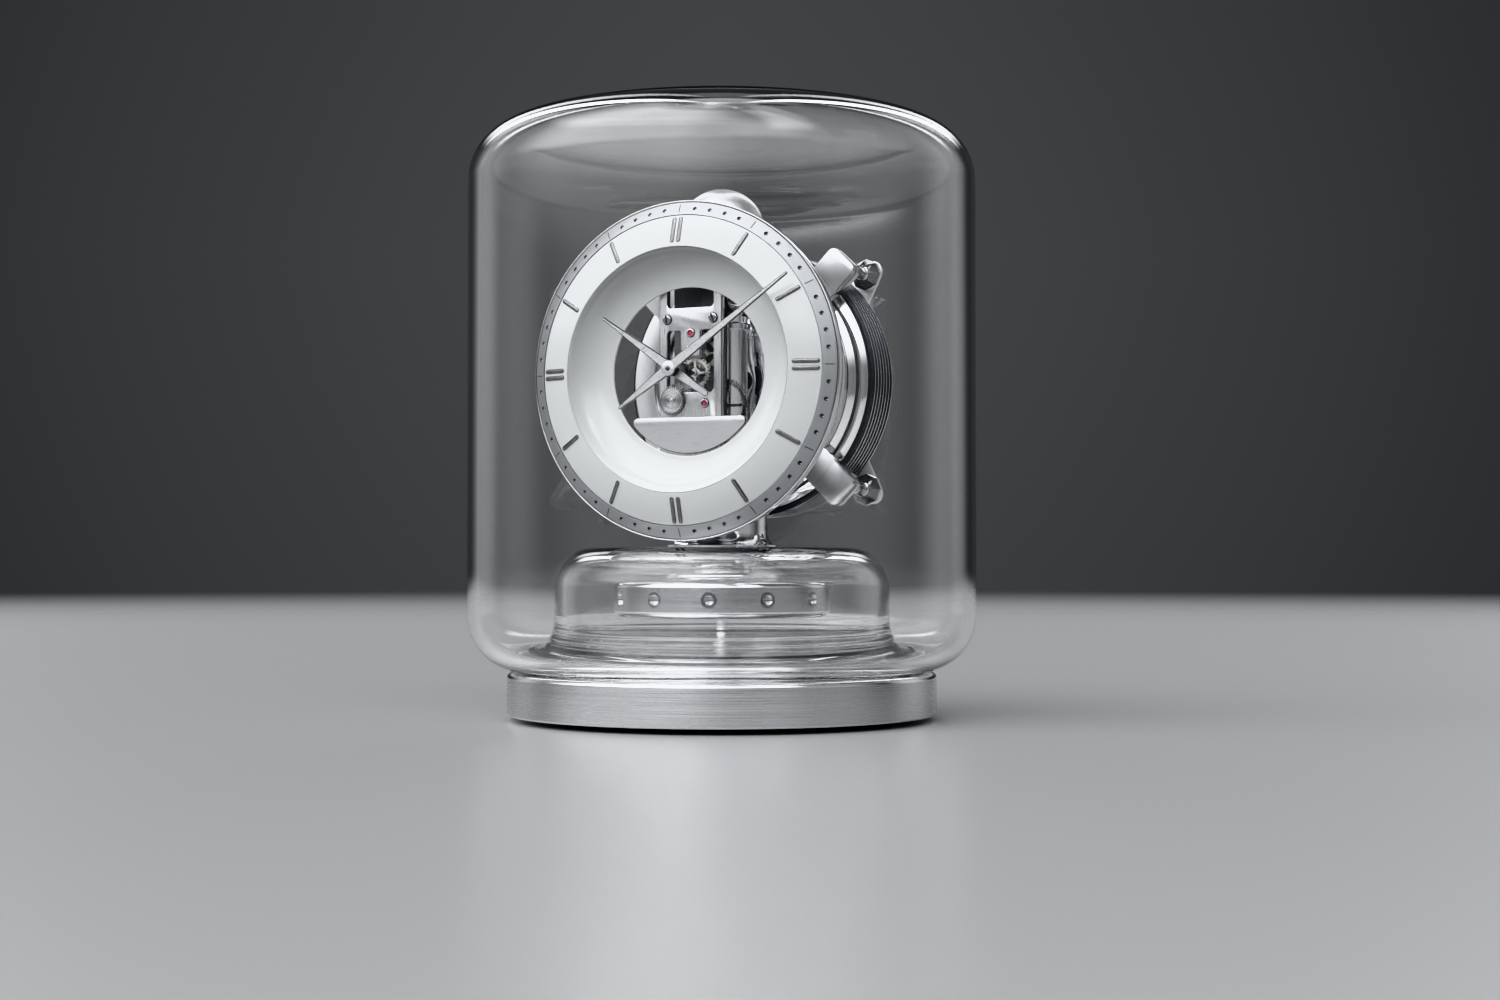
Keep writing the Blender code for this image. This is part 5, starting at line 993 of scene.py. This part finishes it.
def make_batons():
    slope = (chapter_y(BATON_OUTER) - chapter_y(BATON_INNER)) / (BATON_OUTER - BATON_INNER)
    tilt = math.degrees(math.atan(slope))
    y = chapter_y((BATON_INNER + BATON_OUTER) / 2)
    parts, shade_outlines = [], []
    rim, spacing = BATON_SHADE_MARGIN, BATON_SPACING / 2
    for hour in range(12):
        for offset in ((-spacing, spacing) if hour % 3 == 0 else (0,)):
            parts.append(raised_bar(offset, (BATON_INNER, BATON_OUTER), BATON_WIDTH, BATON_RISE,
                                    30 * hour, y, tilt))
            # A wider dark slab under each bar: painted shade along its sides
            shade_outlines.append(raised_bar(offset, (BATON_INNER - rim, BATON_OUTER + rim),
                                   BATON_WIDTH + 2 * rim, BATON_SHADE_RISE, 30 * hour, y,
                                   tilt))
    piece("batons", solid(parts), "marker")
    piece("baton_shade_outlines", solid(shade_outlines), "dark_marks_and_painted_shade")


def hand_parts(tip, tail, tail_width, degrees, front):
    """Tapered hand, flat in front, with a slope along each side."""
    half, end, blunt = HAND_WIDTH / 2, HAND_TIP_WIDTH / 2, tail_width / 2
    root = HUB_RADIUS * 0.6
    stations = [(tip, end * 0.35), (tip - end * 0.6, end)]
    stations += [(root + (tip - end - HUB_RADIUS) * share, half + (end - half) * share)
                 for share in (0.8, 0.6, 0.4, 0.2, 0.0)]
    stations += [(-root - (tail - blunt - root) * share, half + (blunt - half) * share)
                 for share in (0.0, 0.35, 0.7, 1.0)]
    stations += [(-tail + blunt * (1 - math.sin(math.radians(a))),
                  blunt * math.cos(math.radians(a))) for a in (30, 55, 78)]
    verts = []
    side, back = front + HAND_SLOPE, front + HAND_THICKNESS
    for v, width in stations:
        flat = max(width - HAND_SLOPE, 0.2 * width)
        verts += [Vector((-width, side, v)), Vector((-flat, front, v)), Vector((flat, front, v)),
                  Vector((width, side, v)), Vector((width, back, v)), Vector((-width, back, v))]
    corners = 6
    last = (len(stations) - 1) * corners
    faces = ring_faces(corners, len(stations))
    faces += [list(range(corners)), [last + k for k in range(corners)]]
    place = Matrix.Translation(DIAL_ORIGIN) @ Matrix.Rotation(math.radians(degrees), 4, "Y")
    return [place @ v for v in verts], faces


def hand_mesh(shape, degrees, front, hub):
    """A hand and its turned hub, satin in front, with painted shade along its slopes."""
    mesh = solid([hand_parts(*shape, degrees, front), lathe_parts(hub, "Y", 64, DIAL_ORIGIN)])
    paint_edges(mesh, "hand", "painted_shade_edge")
    return mesh


def make_hands():
    front, back = MINUTE_HAND_FRONT, MINUTE_HAND_FRONT + HAND_THICKNESS
    hub = eased([(0, front - HUB_CROWN), (HUB_RADIUS, front), (HUB_RADIUS, back), (0, back)],
                0.3 * MM, closed=False)
    piece("minute_pointer", hand_mesh(MINUTE_HAND, MINUTE_ANGLE, front, hub), None,
          "minute_work", ["minute_hand"])
    front, back = HOUR_HAND_FRONT, HOUR_HAND_FRONT + HAND_THICKNESS
    hub = eased([(PIPE_INNER, front), (HUB_RADIUS, front), (HUB_RADIUS, back),
                 (PIPE_OUTER, back), (PIPE_OUTER, PIPE_BACK), (PIPE_INNER, PIPE_BACK)], 0.2 * MM)
    piece("hour_pointer", hand_mesh(HOUR_HAND, HOUR_ANGLE, front, hub), None, "hour_work",
          ["hour_hand"])
    piece("hand_nut", lathe(HAND_NUT, "Y", DIAL_ORIGIN, 24, 0.1 * MM), "blued", "minute_work")


# Movement

def gear_outline(teeth, radius, depth, phase, tip=0.13, root=0.30):
    """Straight-flanked teeth with flat tips; one tip lies at the phase angle."""
    points = []
    for i in range(teeth):
        for share, r in ((-root, radius - depth), (-tip, radius + depth),
                         (tip, radius + depth), (root, radius - depth)):
            a = math.radians(phase + 360 * (i + share) / teeth)
            points.append((r * math.cos(a), r * math.sin(a)))
    return points


def spoke_windows(inner, outer, count, width):
    """Openings between a wheel's straight spokes."""
    outer_root, inner_root = (math.degrees(math.asin(width / 2 / r)) for r in (outer, inner))
    step = 360 / count
    return [arc((0, 0), outer, step * i + outer_root, step * (i + 1) - outer_root, 10)
            + arc((0, 0), inner, step * (i + 1) - inner_root, step * i + inner_root, 4)
            for i in range(count)]


def pitch(teeth):
    return teeth * MODULE / 2


def outline_angle(clock_degrees):
    return 90 - clock_degrees


def meshed_phase(teeth, phase, other_teeth, direction):
    """Phase that sets a wheel's gap on the tooth of the wheel it meets."""
    lead = teeth * (direction - phase)
    return direction + 180 - (180 - lead) / other_teeth


def wheel_parts(teeth, phase, low, windows=(), origin=DIAL_ORIGIN):
    outline = gear_outline(teeth, pitch(teeth), TOOTH_DEPTH, phase)
    return slab_parts(outline, windows, low, low + WHEEL_THICKNESS, "XZ", origin, 0)


def rod_parts(radius, low, high, origin, axis="Y", sides=24):
    profile = eased(washer(0, radius, low, high), radius * 0.2, closed=False)
    return lathe_parts(profile, axis, sides, origin)


def make_train():
    front, back = ARBOR_SPAN
    phase = meshed_phase(CENTRE_TEETH, 0, MOTION_TEETH, outline_angle(MOTION_WAY))
    spot = at_dial(MOTION_CENTRE)
    mesh = solid([wheel_parts(MOTION_TEETH, phase, CENTRE_Y, origin=spot),
                  slab_parts(gear_outline(*MOTION_DISC, 0, 0.13, 0.24), (), *MOTION_DISC_SPAN,
                             "XZ", spot, 0),
                  rod_parts(ARBOR_RADIUS, MOTION_ARBOR_FRONT, back, spot)])
    paint_faces(mesh, ["motion", "great"], lambda c: "motion" if c.y < PLATE_FRONT else "great")
    piece("motion_gear", mesh, None, "motion_wheel", ["motion_wheel"])
    third_phase = meshed_phase(CENTRE_TEETH, 0, PINION_TEETH, outline_angle(THIRD_WAY))
    spot = at_dial(THIRD_CENTRE)
    piece("third_gear", solid([
        wheel_parts(THIRD_TEETH, third_phase, THIRD_Y, spoke_windows(*THIRD_SPOKES), spot),
        wheel_parts(PINION_TEETH, third_phase, CENTRE_Y, origin=spot),
        rod_parts(ARBOR_RADIUS, front, back, spot)]), "third", "third_wheel", ["third_wheel"])
    phase = meshed_phase(THIRD_TEETH, third_phase, PINION_TEETH, outline_angle(ESCAPE_WAY))
    spot = at_dial(ESCAPE_CENTRE)
    saw = []
    for i in range(ESCAPE_TEETH):
        for share, r in ESCAPE_TOOTH:
            a = math.radians(90 + 360 / ESCAPE_TEETH * (i + share))
            saw.append((r * math.cos(a), r * math.sin(a)))
    piece("escape_gear", solid([
        slab_parts(saw, spoke_windows(*ESCAPE_SPOKES), ESCAPE_Y, ESCAPE_Y + WHEEL_THICKNESS,
                   "XZ", spot, 0),
        wheel_parts(PINION_TEETH, phase, THIRD_Y, origin=spot),
        rod_parts(ESCAPE_ARBOR_RADIUS, front, back, spot)]), "escape", "escape_wheel",
        ["escape_wheel"])
    phase = meshed_phase(CANNON_TEETH, 0, GREAT_TEETH, outline_angle(GREAT_WAY))
    spot = at_dial(GREAT_CENTRE)
    windows = spoke_windows(2.6 * MM, pitch(GREAT_TEETH) - 2.0 * MM, 5, 1.2 * MM)
    piece("great_gear", solid([
        wheel_parts(GREAT_TEETH, phase, GREAT_Y, windows, spot),
        rod_parts(ARBOR_RADIUS, front, GREAT_Y + 0.5 * MM, spot)]), "great", "great_wheel",
        ["great_wheel"])
    bore = circle((0, 0), WHEEL_BORE, 16)
    piece("centre_gear", solid([
        wheel_parts(CENTRE_TEETH, 0, CENTRE_Y, spoke_windows(*CENTRE_SPOKES) + [bore])]),
        "gilt", "minute_work", ["centre_wheel"])
    flutes = gear_outline(CANNON_TEETH, CANNON_RADIUS, CANNON_DEPTH, 0)
    piece("cannon", slab(flutes, *CANNON_SPAN, [bore], origin=DIAL_ORIGIN, edge=0), "blued",
          "minute_work", ["cannon_pinion"])


def window_outline():
    """The plate's lower window, with a tongue that hangs from its top for a screw."""
    w, c, t, (low, high) = WINDOW_HALF, WINDOW_CORNER, TONGUE_HALF, LOWER_WINDOW
    made = arc((w - c, high - c), c, 0, 90, 6)
    made += arc((t + c / 2, high - c / 2), c / 2, 90, 180, 4)[1:]
    made += arc((t - c / 2, TONGUE_LOW + c / 2), c / 2, 0, -90, 4)
    made += arc((c / 2 - t, TONGUE_LOW + c / 2), c / 2, 270, 180, 4)
    made += arc((-t - c / 2, high - c / 2), c / 2, 0, 90, 4)[:-1]
    made += arc((c - w, high - c), c, 90, 180, 6) + arc((c - w, low + c), c, 180, 270, 6)
    return made + arc((w - c, low + c), c, 270, 360, 6)


def make_plates():
    half, reach = PLATE_HALF_WIDTH, PLATE_HALF_HEIGHT
    upper = rounded_box((-WINDOW_HALF, UPPER_WINDOW[0]), (WINDOW_HALF, UPPER_WINDOW[1]),
                        WINDOW_CORNER)
    outline = rounded_box((-half, -reach), (half, reach), WINDOW_CORNER)
    mesh = slab(outline, PLATE_FRONT, PLATE_BACK, [upper, window_outline()],
                origin=DIAL_ORIGIN, edge=0.35 * MM)
    paint_edges(mesh, "plate", "edge")
    plate = piece("movement_plate", mesh, None, replaces=["front_plate"])
    tongue = TONGUE_LOW + SCREW_RADIUS + JEWEL_RADIUS / 2
    screws = (((-WINDOW_HALF, SCREW_ROW), 80), ((WINDOW_HALF, SCREW_ROW), 70), ((0, tongue), 20))
    cuts = [rod_parts(radius + margin, PLATE_FRONT - MM, PLATE_FRONT + depth, at_dial(spot),
                      sides=40)
            for radius, (margin, depth), spots in (
                (SCREW_RADIUS, SCREW_SEAT, [spot for spot, _ in screws]),
                (JEWEL_RADIUS, JEWEL_SEAT, (ESCAPE_CENTRE, GREAT_CENTRE))) for spot in spots]
    cuts.append(rod_parts(WELL_RADIUS, PLATE_FRONT - 2 * MM, PLATE_BACK + 2 * MM,
                          at_dial(MOTION_CENTRE), sides=64))
    # The cut walls get painted shade
    carve(plate, cuts, "dark_marks_and_painted_shade")
    for index, (spot, degrees) in enumerate(screws):
        screw(f"plate_screw_head_{index + 1}", spot, degrees, f"plate_screw_{index + 1}")
    front = JEWEL_FRONT
    for name, centre, node_name in (("upper_jewel", ESCAPE_CENTRE, "escape_jewel"),
                                    ("lower_jewel", GREAT_CENTRE, "great_wheel_jewel")):
        spot = at_dial(centre)
        piece(name, lathe([
            (0, front + 0.3 * MM), (0.4 * MM, front + 0.12 * MM), (1.1 * MM, front + 0.05 * MM),
            (1.25 * MM, JEWEL_BACK), (0, JEWEL_BACK)], "Y", spot, 32, 0.1 * MM), "ruby",
            replaces=[node_name])
        piece(name + "_setting", lathe([
            (1.27 * MM, SETTING_BACK), (1.27 * MM, front - 0.02 * MM),
            (1.7 * MM, front + 0.1 * MM), (1.75 * MM, SETTING_BACK)], "Y", spot, 32, 0.1 * MM),
            "edge")
    make_plaque()


def screw(name, point, degrees, node_name):
    spot = at_dial(point)
    front, back = SCREW_SPAN
    head = piece(name, lathe(washer(0, SCREW_RADIUS, front, back), "Y", spot, 48, 0.3 * MM),
                 "edge", replaces=[node_name])
    reach, half, depth = SCREW_SLOT
    box = [(-reach, -half), (reach, -half), (reach, half), (-reach, half)]
    # The slot's walls get painted shade
    carve(head, [slab_parts(box, (), front - MM, front + depth, "XZ", spot, 0, degrees)],
          "dark_marks_and_painted_shade")


def make_plaque():
    corner_v, reach = PLAQUE_TOP - PLAQUE_CORNER, PLAQUE_RADIUS - PLAQUE_CORNER
    corner_u = math.sqrt(reach ** 2 - corner_v ** 2)
    start = math.degrees(math.atan2(-corner_v, corner_u))
    outline = arc((-corner_u, corner_v), PLAQUE_CORNER, 90, 180 + start, 10)
    outline += arc((0, 0), PLAQUE_RADIUS, 180 + start, 360 - start, 64)[1:-1]
    outline += arc((corner_u, corner_v), PLAQUE_CORNER, -start, 90, 10)
    mesh = slab(outline, *PLAQUE_SPAN, origin=DIAL_ORIGIN, edge=0.3 * MM)
    # The plaque's edges get painted shade
    paint_edges(mesh, "plaque", "painted_shade_edge")
    piece("name_plaque", mesh, None, replaces=["plaque"])


def make_bridges():
    for name, low, high in (("lower_bridge", *LOWER_BRIDGE), ("upper_bridge", *UPPER_BRIDGE)):
        outline = rounded_box((-BRIDGE_HALF, BRIDGE_FRONT), (BRIDGE_HALF, BRIDGE_BACK),
                              WINDOW_CORNER)
        mesh = slab(outline, low, high, [circle((0, 0), TUBE_RADIUS + GAP, 96)], "XY",
                    edge=BRIDGE_EDGE)
        paint_edges(mesh, "bridge", "edge", (0, 1, 2))
        piece(name + "_block", mesh, None, replaces=[name])


def make_barrel():
    piece("barrel_drum", lathe(washer(BARREL_BORE, BARREL_RADIUS, *BARREL_SPAN), "X",
                               BARREL_ORIGIN, 96, BARREL_EDGE), "mirror", "barrel",
          ["winding_barrel"])
    teeth = gear_outline(RATCHET_TEETH, RATCHET_RADIUS - RATCHET_DEPTH, RATCHET_DEPTH, 0)
    piece("ratchet", solid([
        slab_parts(teeth, (), *RATCHET_SPAN, "YZ", BARREL_ORIGIN, 0),
        rod_parts(BARREL_ARBOR_RADIUS, *BARREL_ARBOR_SPAN, BARREL_ORIGIN, "X")]), "blued",
        "barrel", ["ratchet_wheel"])


# Capsule

def make_capsule():
    pitch_y = (DRUM_BACK - DRUM_FRONT) / DRUM_RIBS
    outside = []
    for index in range(DRUM_RIBS):
        y = DRUM_FRONT + pitch_y * index
        for share, rise in ((0.03, -1), (0.25, -1), (0.38, 0.2), (0.45, 0.9), (0.5, 1),
                            (0.6, 1), (0.65, 0.9), (0.72, 0.2), (0.85, -1)):
            outside.append((DRUM_RADIUS + DRUM_RIB * rise, y + pitch_y * share))
    inner = DRUM_RADIUS - DRUM_WALL
    steps = []
    for radius in DRUM_STEPS:
        for r, deep in ((radius + 1.1 * MM, 0), (radius + 0.4 * MM, DRUM_STEP_DEPTH),
                        (radius - 0.4 * MM, DRUM_STEP_DEPTH), (radius - 1.1 * MM, 0)):
            steps.append((r, DRUM_BACK - deep))
    mesh = dial_lathe([(0, DRUM_BACK - DRUM_END), (inner, DRUM_BACK - DRUM_END),
                       (inner, DRUM_FRONT)] + outside + steps + [(0, DRUM_BACK)], edge=0)
    # Faces beyond this radius get the painted highlight, and the rest keeps the drum's dark finish
    crest = DRUM_RADIUS + 0.55 * DRUM_RIB

    def ridge(c):
        if c.y > DRUM_BACK - 0.8 * MM and math.hypot(c.x, c.z - DIAL_Z) < EAR_INNER:
            return "drum_end"
        return "rib_highlight" if math.hypot(c.x, c.z - DIAL_Z) > crest else "drum"
    paint_faces(mesh, ["drum", "rib_highlight", "drum_end"], ridge)
    piece("drum", mesh, None, replaces=["capsule_drum"])
    make_dish()


def make_dish():
    back, sheet = DRUM_FRONT - GAP, DISH_SHEET
    slope = (back - sheet - DISH_FLOOR) / (DISH_RADIUS - DISH_FLAT)
    groove = [(r, DISH_FLOOR + slope * (r - DISH_FLAT) + deep) for r, deep in (
        (DISH_GROOVE[1], 0), (DISH_GROOVE[1], DISH_GROOVE_DEPTH),
        (DISH_GROOVE[0], DISH_GROOVE_DEPTH), (DISH_GROOVE[0], 0))]
    profile = [(DISH_RADIUS, back), (DISH_RADIUS, back - sheet), *groove,
               (DISH_FLAT, DISH_FLOOR), (DISH_BORE, DISH_FLOOR), (DISH_BORE, DISH_FLOOR + sheet),
               (DISH_FLAT, DISH_FLOOR + sheet), (DISH_RADIUS - sheet, back)]
    mesh = dial_lathe(eased(profile, 0.15 * MM))
    dark = (DISH_GROOVE[0] - 0.01 * MM, DISH_GROOVE[1] + 0.01 * MM)

    # The groove's faces get painted shade
    def choose(c):
        inside = dark[0] < math.hypot(c.x, c.z - DIAL_Z) < dark[1]
        return "dark_marks_and_painted_shade" if inside and c.y < back - sheet else "mirror"
    paint_faces(mesh, ["mirror", "dark_marks_and_painted_shade"], choose)
    dish = piece("dish", mesh, None, replaces=["capsule_dish"])
    carve(dish, [rod_parts(CHAIN_HOLE_RADIUS, DISH_FLOOR - 2 * MM, DISH_FLOOR + 4 * MM,
                           at_dial(CHAIN_HOLE))])
    y = DISH_FLOOR + slope * (DISH_SCREW_CIRCLE - DISH_FLAT)
    head = eased([(0, y - 1.1 * MM), (DISH_SCREW_RADIUS, y - 1.0 * MM),
                  (DISH_SCREW_RADIUS, y + 0.8 * MM), (0, y + 0.8 * MM)], 0.2 * MM, closed=False)
    heads = [lathe_parts(head, "Y", 24, at_dial(clock_point(DISH_SCREW_CIRCLE, degrees)))
             for degrees in range(15, 360, 60)]
    piece("dish_screws", solid(heads), "blued")


def lug_outline(root):
    half = LUG_HALF_WIDTH
    outline = [(-half, root), (half, root)]
    outline += arc((half - LUG_CORNER, LUG_REACH - LUG_CORNER), LUG_CORNER, 0, 90, 8)
    outline += arc((LUG_CORNER - half, LUG_REACH - LUG_CORNER), LUG_CORNER, 90, 180, 8)
    return outline


def make_yoke():
    ring_back = YOKE_FRONT + YOKE_THICKNESS
    profile = eased(washer(YOKE_INNER, YOKE_OUTER, YOKE_FRONT, ring_back), YOKE_EDGE)
    parts = [lathe_parts(profile, "Y", SIDES, DIAL_ORIGIN)]
    inset = 0.05 * MM
    for degrees in LUG_ANGLES:
        parts.append(slab_parts(lug_outline((YOKE_INNER + YOKE_OUTER) / 2), (),
                                YOKE_FRONT - inset, ring_back + inset, "XZ", DIAL_ORIGIN,
                                YOKE_EDGE, degrees))
        parts.append(slab_parts(lug_outline(DISH_RADIUS + 0.5 * MM), (), YOKE_FRONT - 2 * inset,
                                LUG_BACK, "XZ", DIAL_ORIGIN, LUG_EDGE, degrees))
        parts.append(rod_parts(POST_RADIUS, LUG_BACK - MM, NUT_FRONT - GAP,
                               at_dial(clock_point(POST_CIRCLE, degrees))))
    mesh = solid(parts)
    paint_edges(mesh, "lug", "edge")
    piece("yoke", mesh, None, replaces=["capsule_yoke"])


def nut_parts(origin):
    """Faceted cone with a round collar, opening towards the back."""
    rings = []
    count = NUT_FACETS * 8
    sector = math.tau / NUT_FACETS
    for radius, y, facet in ((NUT_SMALL - 0.4 * MM, NUT_FRONT, 0),
                             (NUT_SMALL, NUT_FRONT + 0.4 * MM, 0),
                             (NUT_SMALL, NUT_FRONT + 1.7 * MM, 0),
                             (NUT_SMALL + 0.5 * MM, NUT_FRONT + 1.9 * MM, 1),
                             (NUT_LARGE - 0.2 * MM, DRUM_BACK - 3.2 * MM, 1),
                             (NUT_LARGE, DRUM_BACK - 2.9 * MM, 1),
                             (NUT_LARGE, DRUM_BACK - 0.9 * MM, 1),
                             (NUT_LARGE - 0.9 * MM, DRUM_BACK, 0.6)):
        ring = []
        for i in range(count):
            turn = math.tau * i / count
            flat = math.cos(sector / 2) / math.cos(turn % sector - sector / 2)
            ring.append((radius * (1 - facet + facet * flat), y, turn))
        rings.append(ring)
    verts = [Vector((r * math.cos(a), y, r * math.sin(a))) + origin
             for ring in rings for r, y, a in ring]
    levels = len(rings)
    faces = [list(range(count)), [(levels - 1) * count + i for i in range(count)]]
    return verts, faces + ring_faces(count, levels)


def nut_look(centre):
    # The flanks get painted shade, and the collar and rim stay bright
    flank = NUT_FRONT + 1.8 * MM < centre.y < DRUM_BACK - 3.1 * MM
    return "nut_painted_shade" if flank else "nut"


def make_clamps():
    for index, degrees in enumerate(LUG_ANGLES):
        mesh = solid([nut_parts(at_dial(clock_point(POST_CIRCLE, degrees)))])
        paint_faces(mesh, ["nut", "nut_painted_shade"], nut_look)
        piece(f"clamp_nut_{index + 1}", mesh, None, replaces=[f"thumb_nut_{index + 1}"])
    points = []
    root = math.degrees(math.asin(EAR_HALF_WIDTH / EAR_OUTER))
    tip = EAR_HALF_WIDTH / 2
    for degrees in sorted(LUG_ANGLES, key=lambda d: outline_angle(d) % 360):
        middle = outline_angle(degrees) % 360
        centre = clock_point(EAR_REACH - tip, degrees)
        points += arc((0, 0), EAR_OUTER, middle - 45, middle - root, 12)
        points += arc(centre, tip, middle - 60, middle + 60, 12)
        points += arc((0, 0), EAR_OUTER, middle + root, middle + 45, 12)[:-1]
    mesh = slab(points, EAR_FRONT, EAR_BACK, [circle((0, 0), EAR_INNER, SIDES)],
                origin=DIAL_ORIGIN, edge=EAR_EDGE)
    piece("back_plate_ring", mesh, "lug", replaces=["ear_plate"])


# Nodes shown as they are

CARRIED = {
    "base_cover": "turned", "levelling_foot_1": "rubber", "levelling_foot_2": "rubber",
    "levelling_foot_3": "rubber", "lock_lever": "mirror", "lock_plunger": "mirror",
    "balance_spokes": "bridge", "balance_stem": "mirror", "suspension_wire": "wire",
    "wire_collet": "gilt", "minute_arbor": "mirror", "pallet_lever": "mirror",
    "back_plate": "inner_plate", "barrel_bracket": "bracket", "winding_chain": "blued",
    "bellows": "dial_turned", "push_plate": "dial_turned",
}


def dress_nodes():
    for name, look in CARRIED.items():
        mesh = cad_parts[name].data
        mesh.materials.clear()
        mesh.materials.append(LOOKS[look])


# Stage

def softbox(made, direction, azimuth, elevation, size, soft, strength):
    """Glow of a large soft lamp; degrees, with azimuth from the front towards +X."""
    turned = node(made, "VectorRotate", [("Vector", direction), ("Angle", -math.radians(azimuth))],
                  rotation_type="Z_AXIS").outputs[0]
    x, y, z = node(made, "SeparateXYZ", [(0, turned)]).outputs
    across = maths(made, "ARCTAN2", x, maths(made, "MULTIPLY", y, -1.0))
    height = maths(made, "SUBTRACT", maths(made, "ARCSINE", z), math.radians(elevation))
    glow = strength
    for angle, span, blur in ((across, size[0], soft[0]), (height, size[1], soft[1])):
        off = maths(made, "ABSOLUTE", angle)
        edge = node(made, "MapRange", [
            ("Value", off), ("From Min", math.radians((span + blur) / 2)),
            ("From Max", math.radians((span - blur) / 2))], interpolation_type="SMOOTHSTEP")
        glow = maths(made, "MULTIPLY", edge.outputs[0], glow)
    return glow


def make_studio():
    """Dim room with soft lamps round the clock and a lighter backdrop behind it."""
    world = bpy.data.worlds.new("studio")
    world.use_nodes = True
    direction = node(world, "TexCoord").outputs["Generated"]
    light = STUDIO_BASE
    for azimuth, elevation, size, soft, strength in STUDIO_LAMPS:
        light = maths(world, "ADD", light,
                      softbox(world, direction, azimuth, elevation, size, soft, strength))
    back = world.node_tree.nodes["Background"]
    back.inputs[0].default_value = STUDIO_COLOUR
    world.node_tree.links.new(light, back.inputs[1])
    scene.world = world


def make_floor():
    """Pale floor that fades into the backdrop."""
    made = new_material("floor_pale", FLOOR_COLOUR, 0.27)
    nodes, links = made.node_tree.nodes, made.node_tree.links
    place = node(made, "TexCoord").outputs["Object"]
    away = node(made, "VectorMath", [(0, place)], operation="LENGTH").outputs["Value"]
    fade = node(made, "MapRange", [("Value", away), ("From Min", FLOOR_FADE[0]),
                                   ("From Max", FLOOR_FADE[1])],
                interpolation_type="SMOOTHSTEP").outputs[0]
    clear = node(made, "BsdfTransparent").outputs[0]
    mixed = node(made, "MixShader", [(0, fade), (1, nodes["Principled BSDF"].outputs[0]),
                                     (2, clear)])
    links.new(mixed.outputs[0], nodes["Material Output"].inputs["Surface"])
    profile = [(0, -FLOOR_DEPTH), (FLOOR_FADE[1], -FLOOR_DEPTH), (FLOOR_FADE[1], 0), (0, 0)]
    mesh = solid([lathe_parts(profile, "Z", 96, (0, 0, 0))])
    mesh.materials.append(made)
    floor = bpy.data.objects.new("stage_floor", mesh)
    scene.collection.objects.link(floor)


def make_camera():
    a, yaw, pitch_up = (math.radians(v) for v in (CAMERA_AZIMUTH, CAMERA_YAW, CAMERA_PITCH))
    inward = Vector((-math.sin(a), math.cos(a), 0))
    across = Vector((math.cos(a), math.sin(a), 0))
    level = inward * math.cos(yaw) + across * math.sin(yaw)
    right = across * math.cos(yaw) - inward * math.sin(yaw)
    up_axis = Vector((0, 0, 1))
    ahead = level * math.cos(pitch_up) + up_axis * math.sin(pitch_up)
    up = up_axis * math.cos(pitch_up) - level * math.sin(pitch_up)
    data = bpy.data.cameras.new("camera")
    data.sensor_width = 36
    data.lens = CAMERA_LENS
    data.clip_start, data.clip_end = 0.01, 50
    made = bpy.data.objects.new("camera", data)
    turn = Matrix((right, up, -ahead)).transposed()
    spot = -inward * CAMERA_DISTANCE
    spot.z = CAMERA_HEIGHT
    made.matrix_world = Matrix.Translation(spot) @ turn.to_4x4()
    scene.collection.objects.link(made)
    scene.camera = made


def set_light_paths():
    """Enough bounces for glass in glass, and no doubled light through it."""
    scene.cycles.max_bounces = 24
    scene.cycles.transmission_bounces = 20
    scene.cycles.glossy_bounces = 6
    scene.cycles.transparent_max_bounces = 24
    scene.cycles.caustics_refractive = False
    scene.cycles.blur_glossy = 0.3
    scene.view_settings.view_transform = "Khronos PBR Neutral"


make_camera()
set_light_paths()
make_base()
make_glass()
make_column()
make_balance()
make_dial()
make_hands()
make_train()
make_plates()
make_bridges()
make_barrel()
make_capsule()
make_yoke()
make_clamps()
dress_nodes()
make_studio()
make_floor()
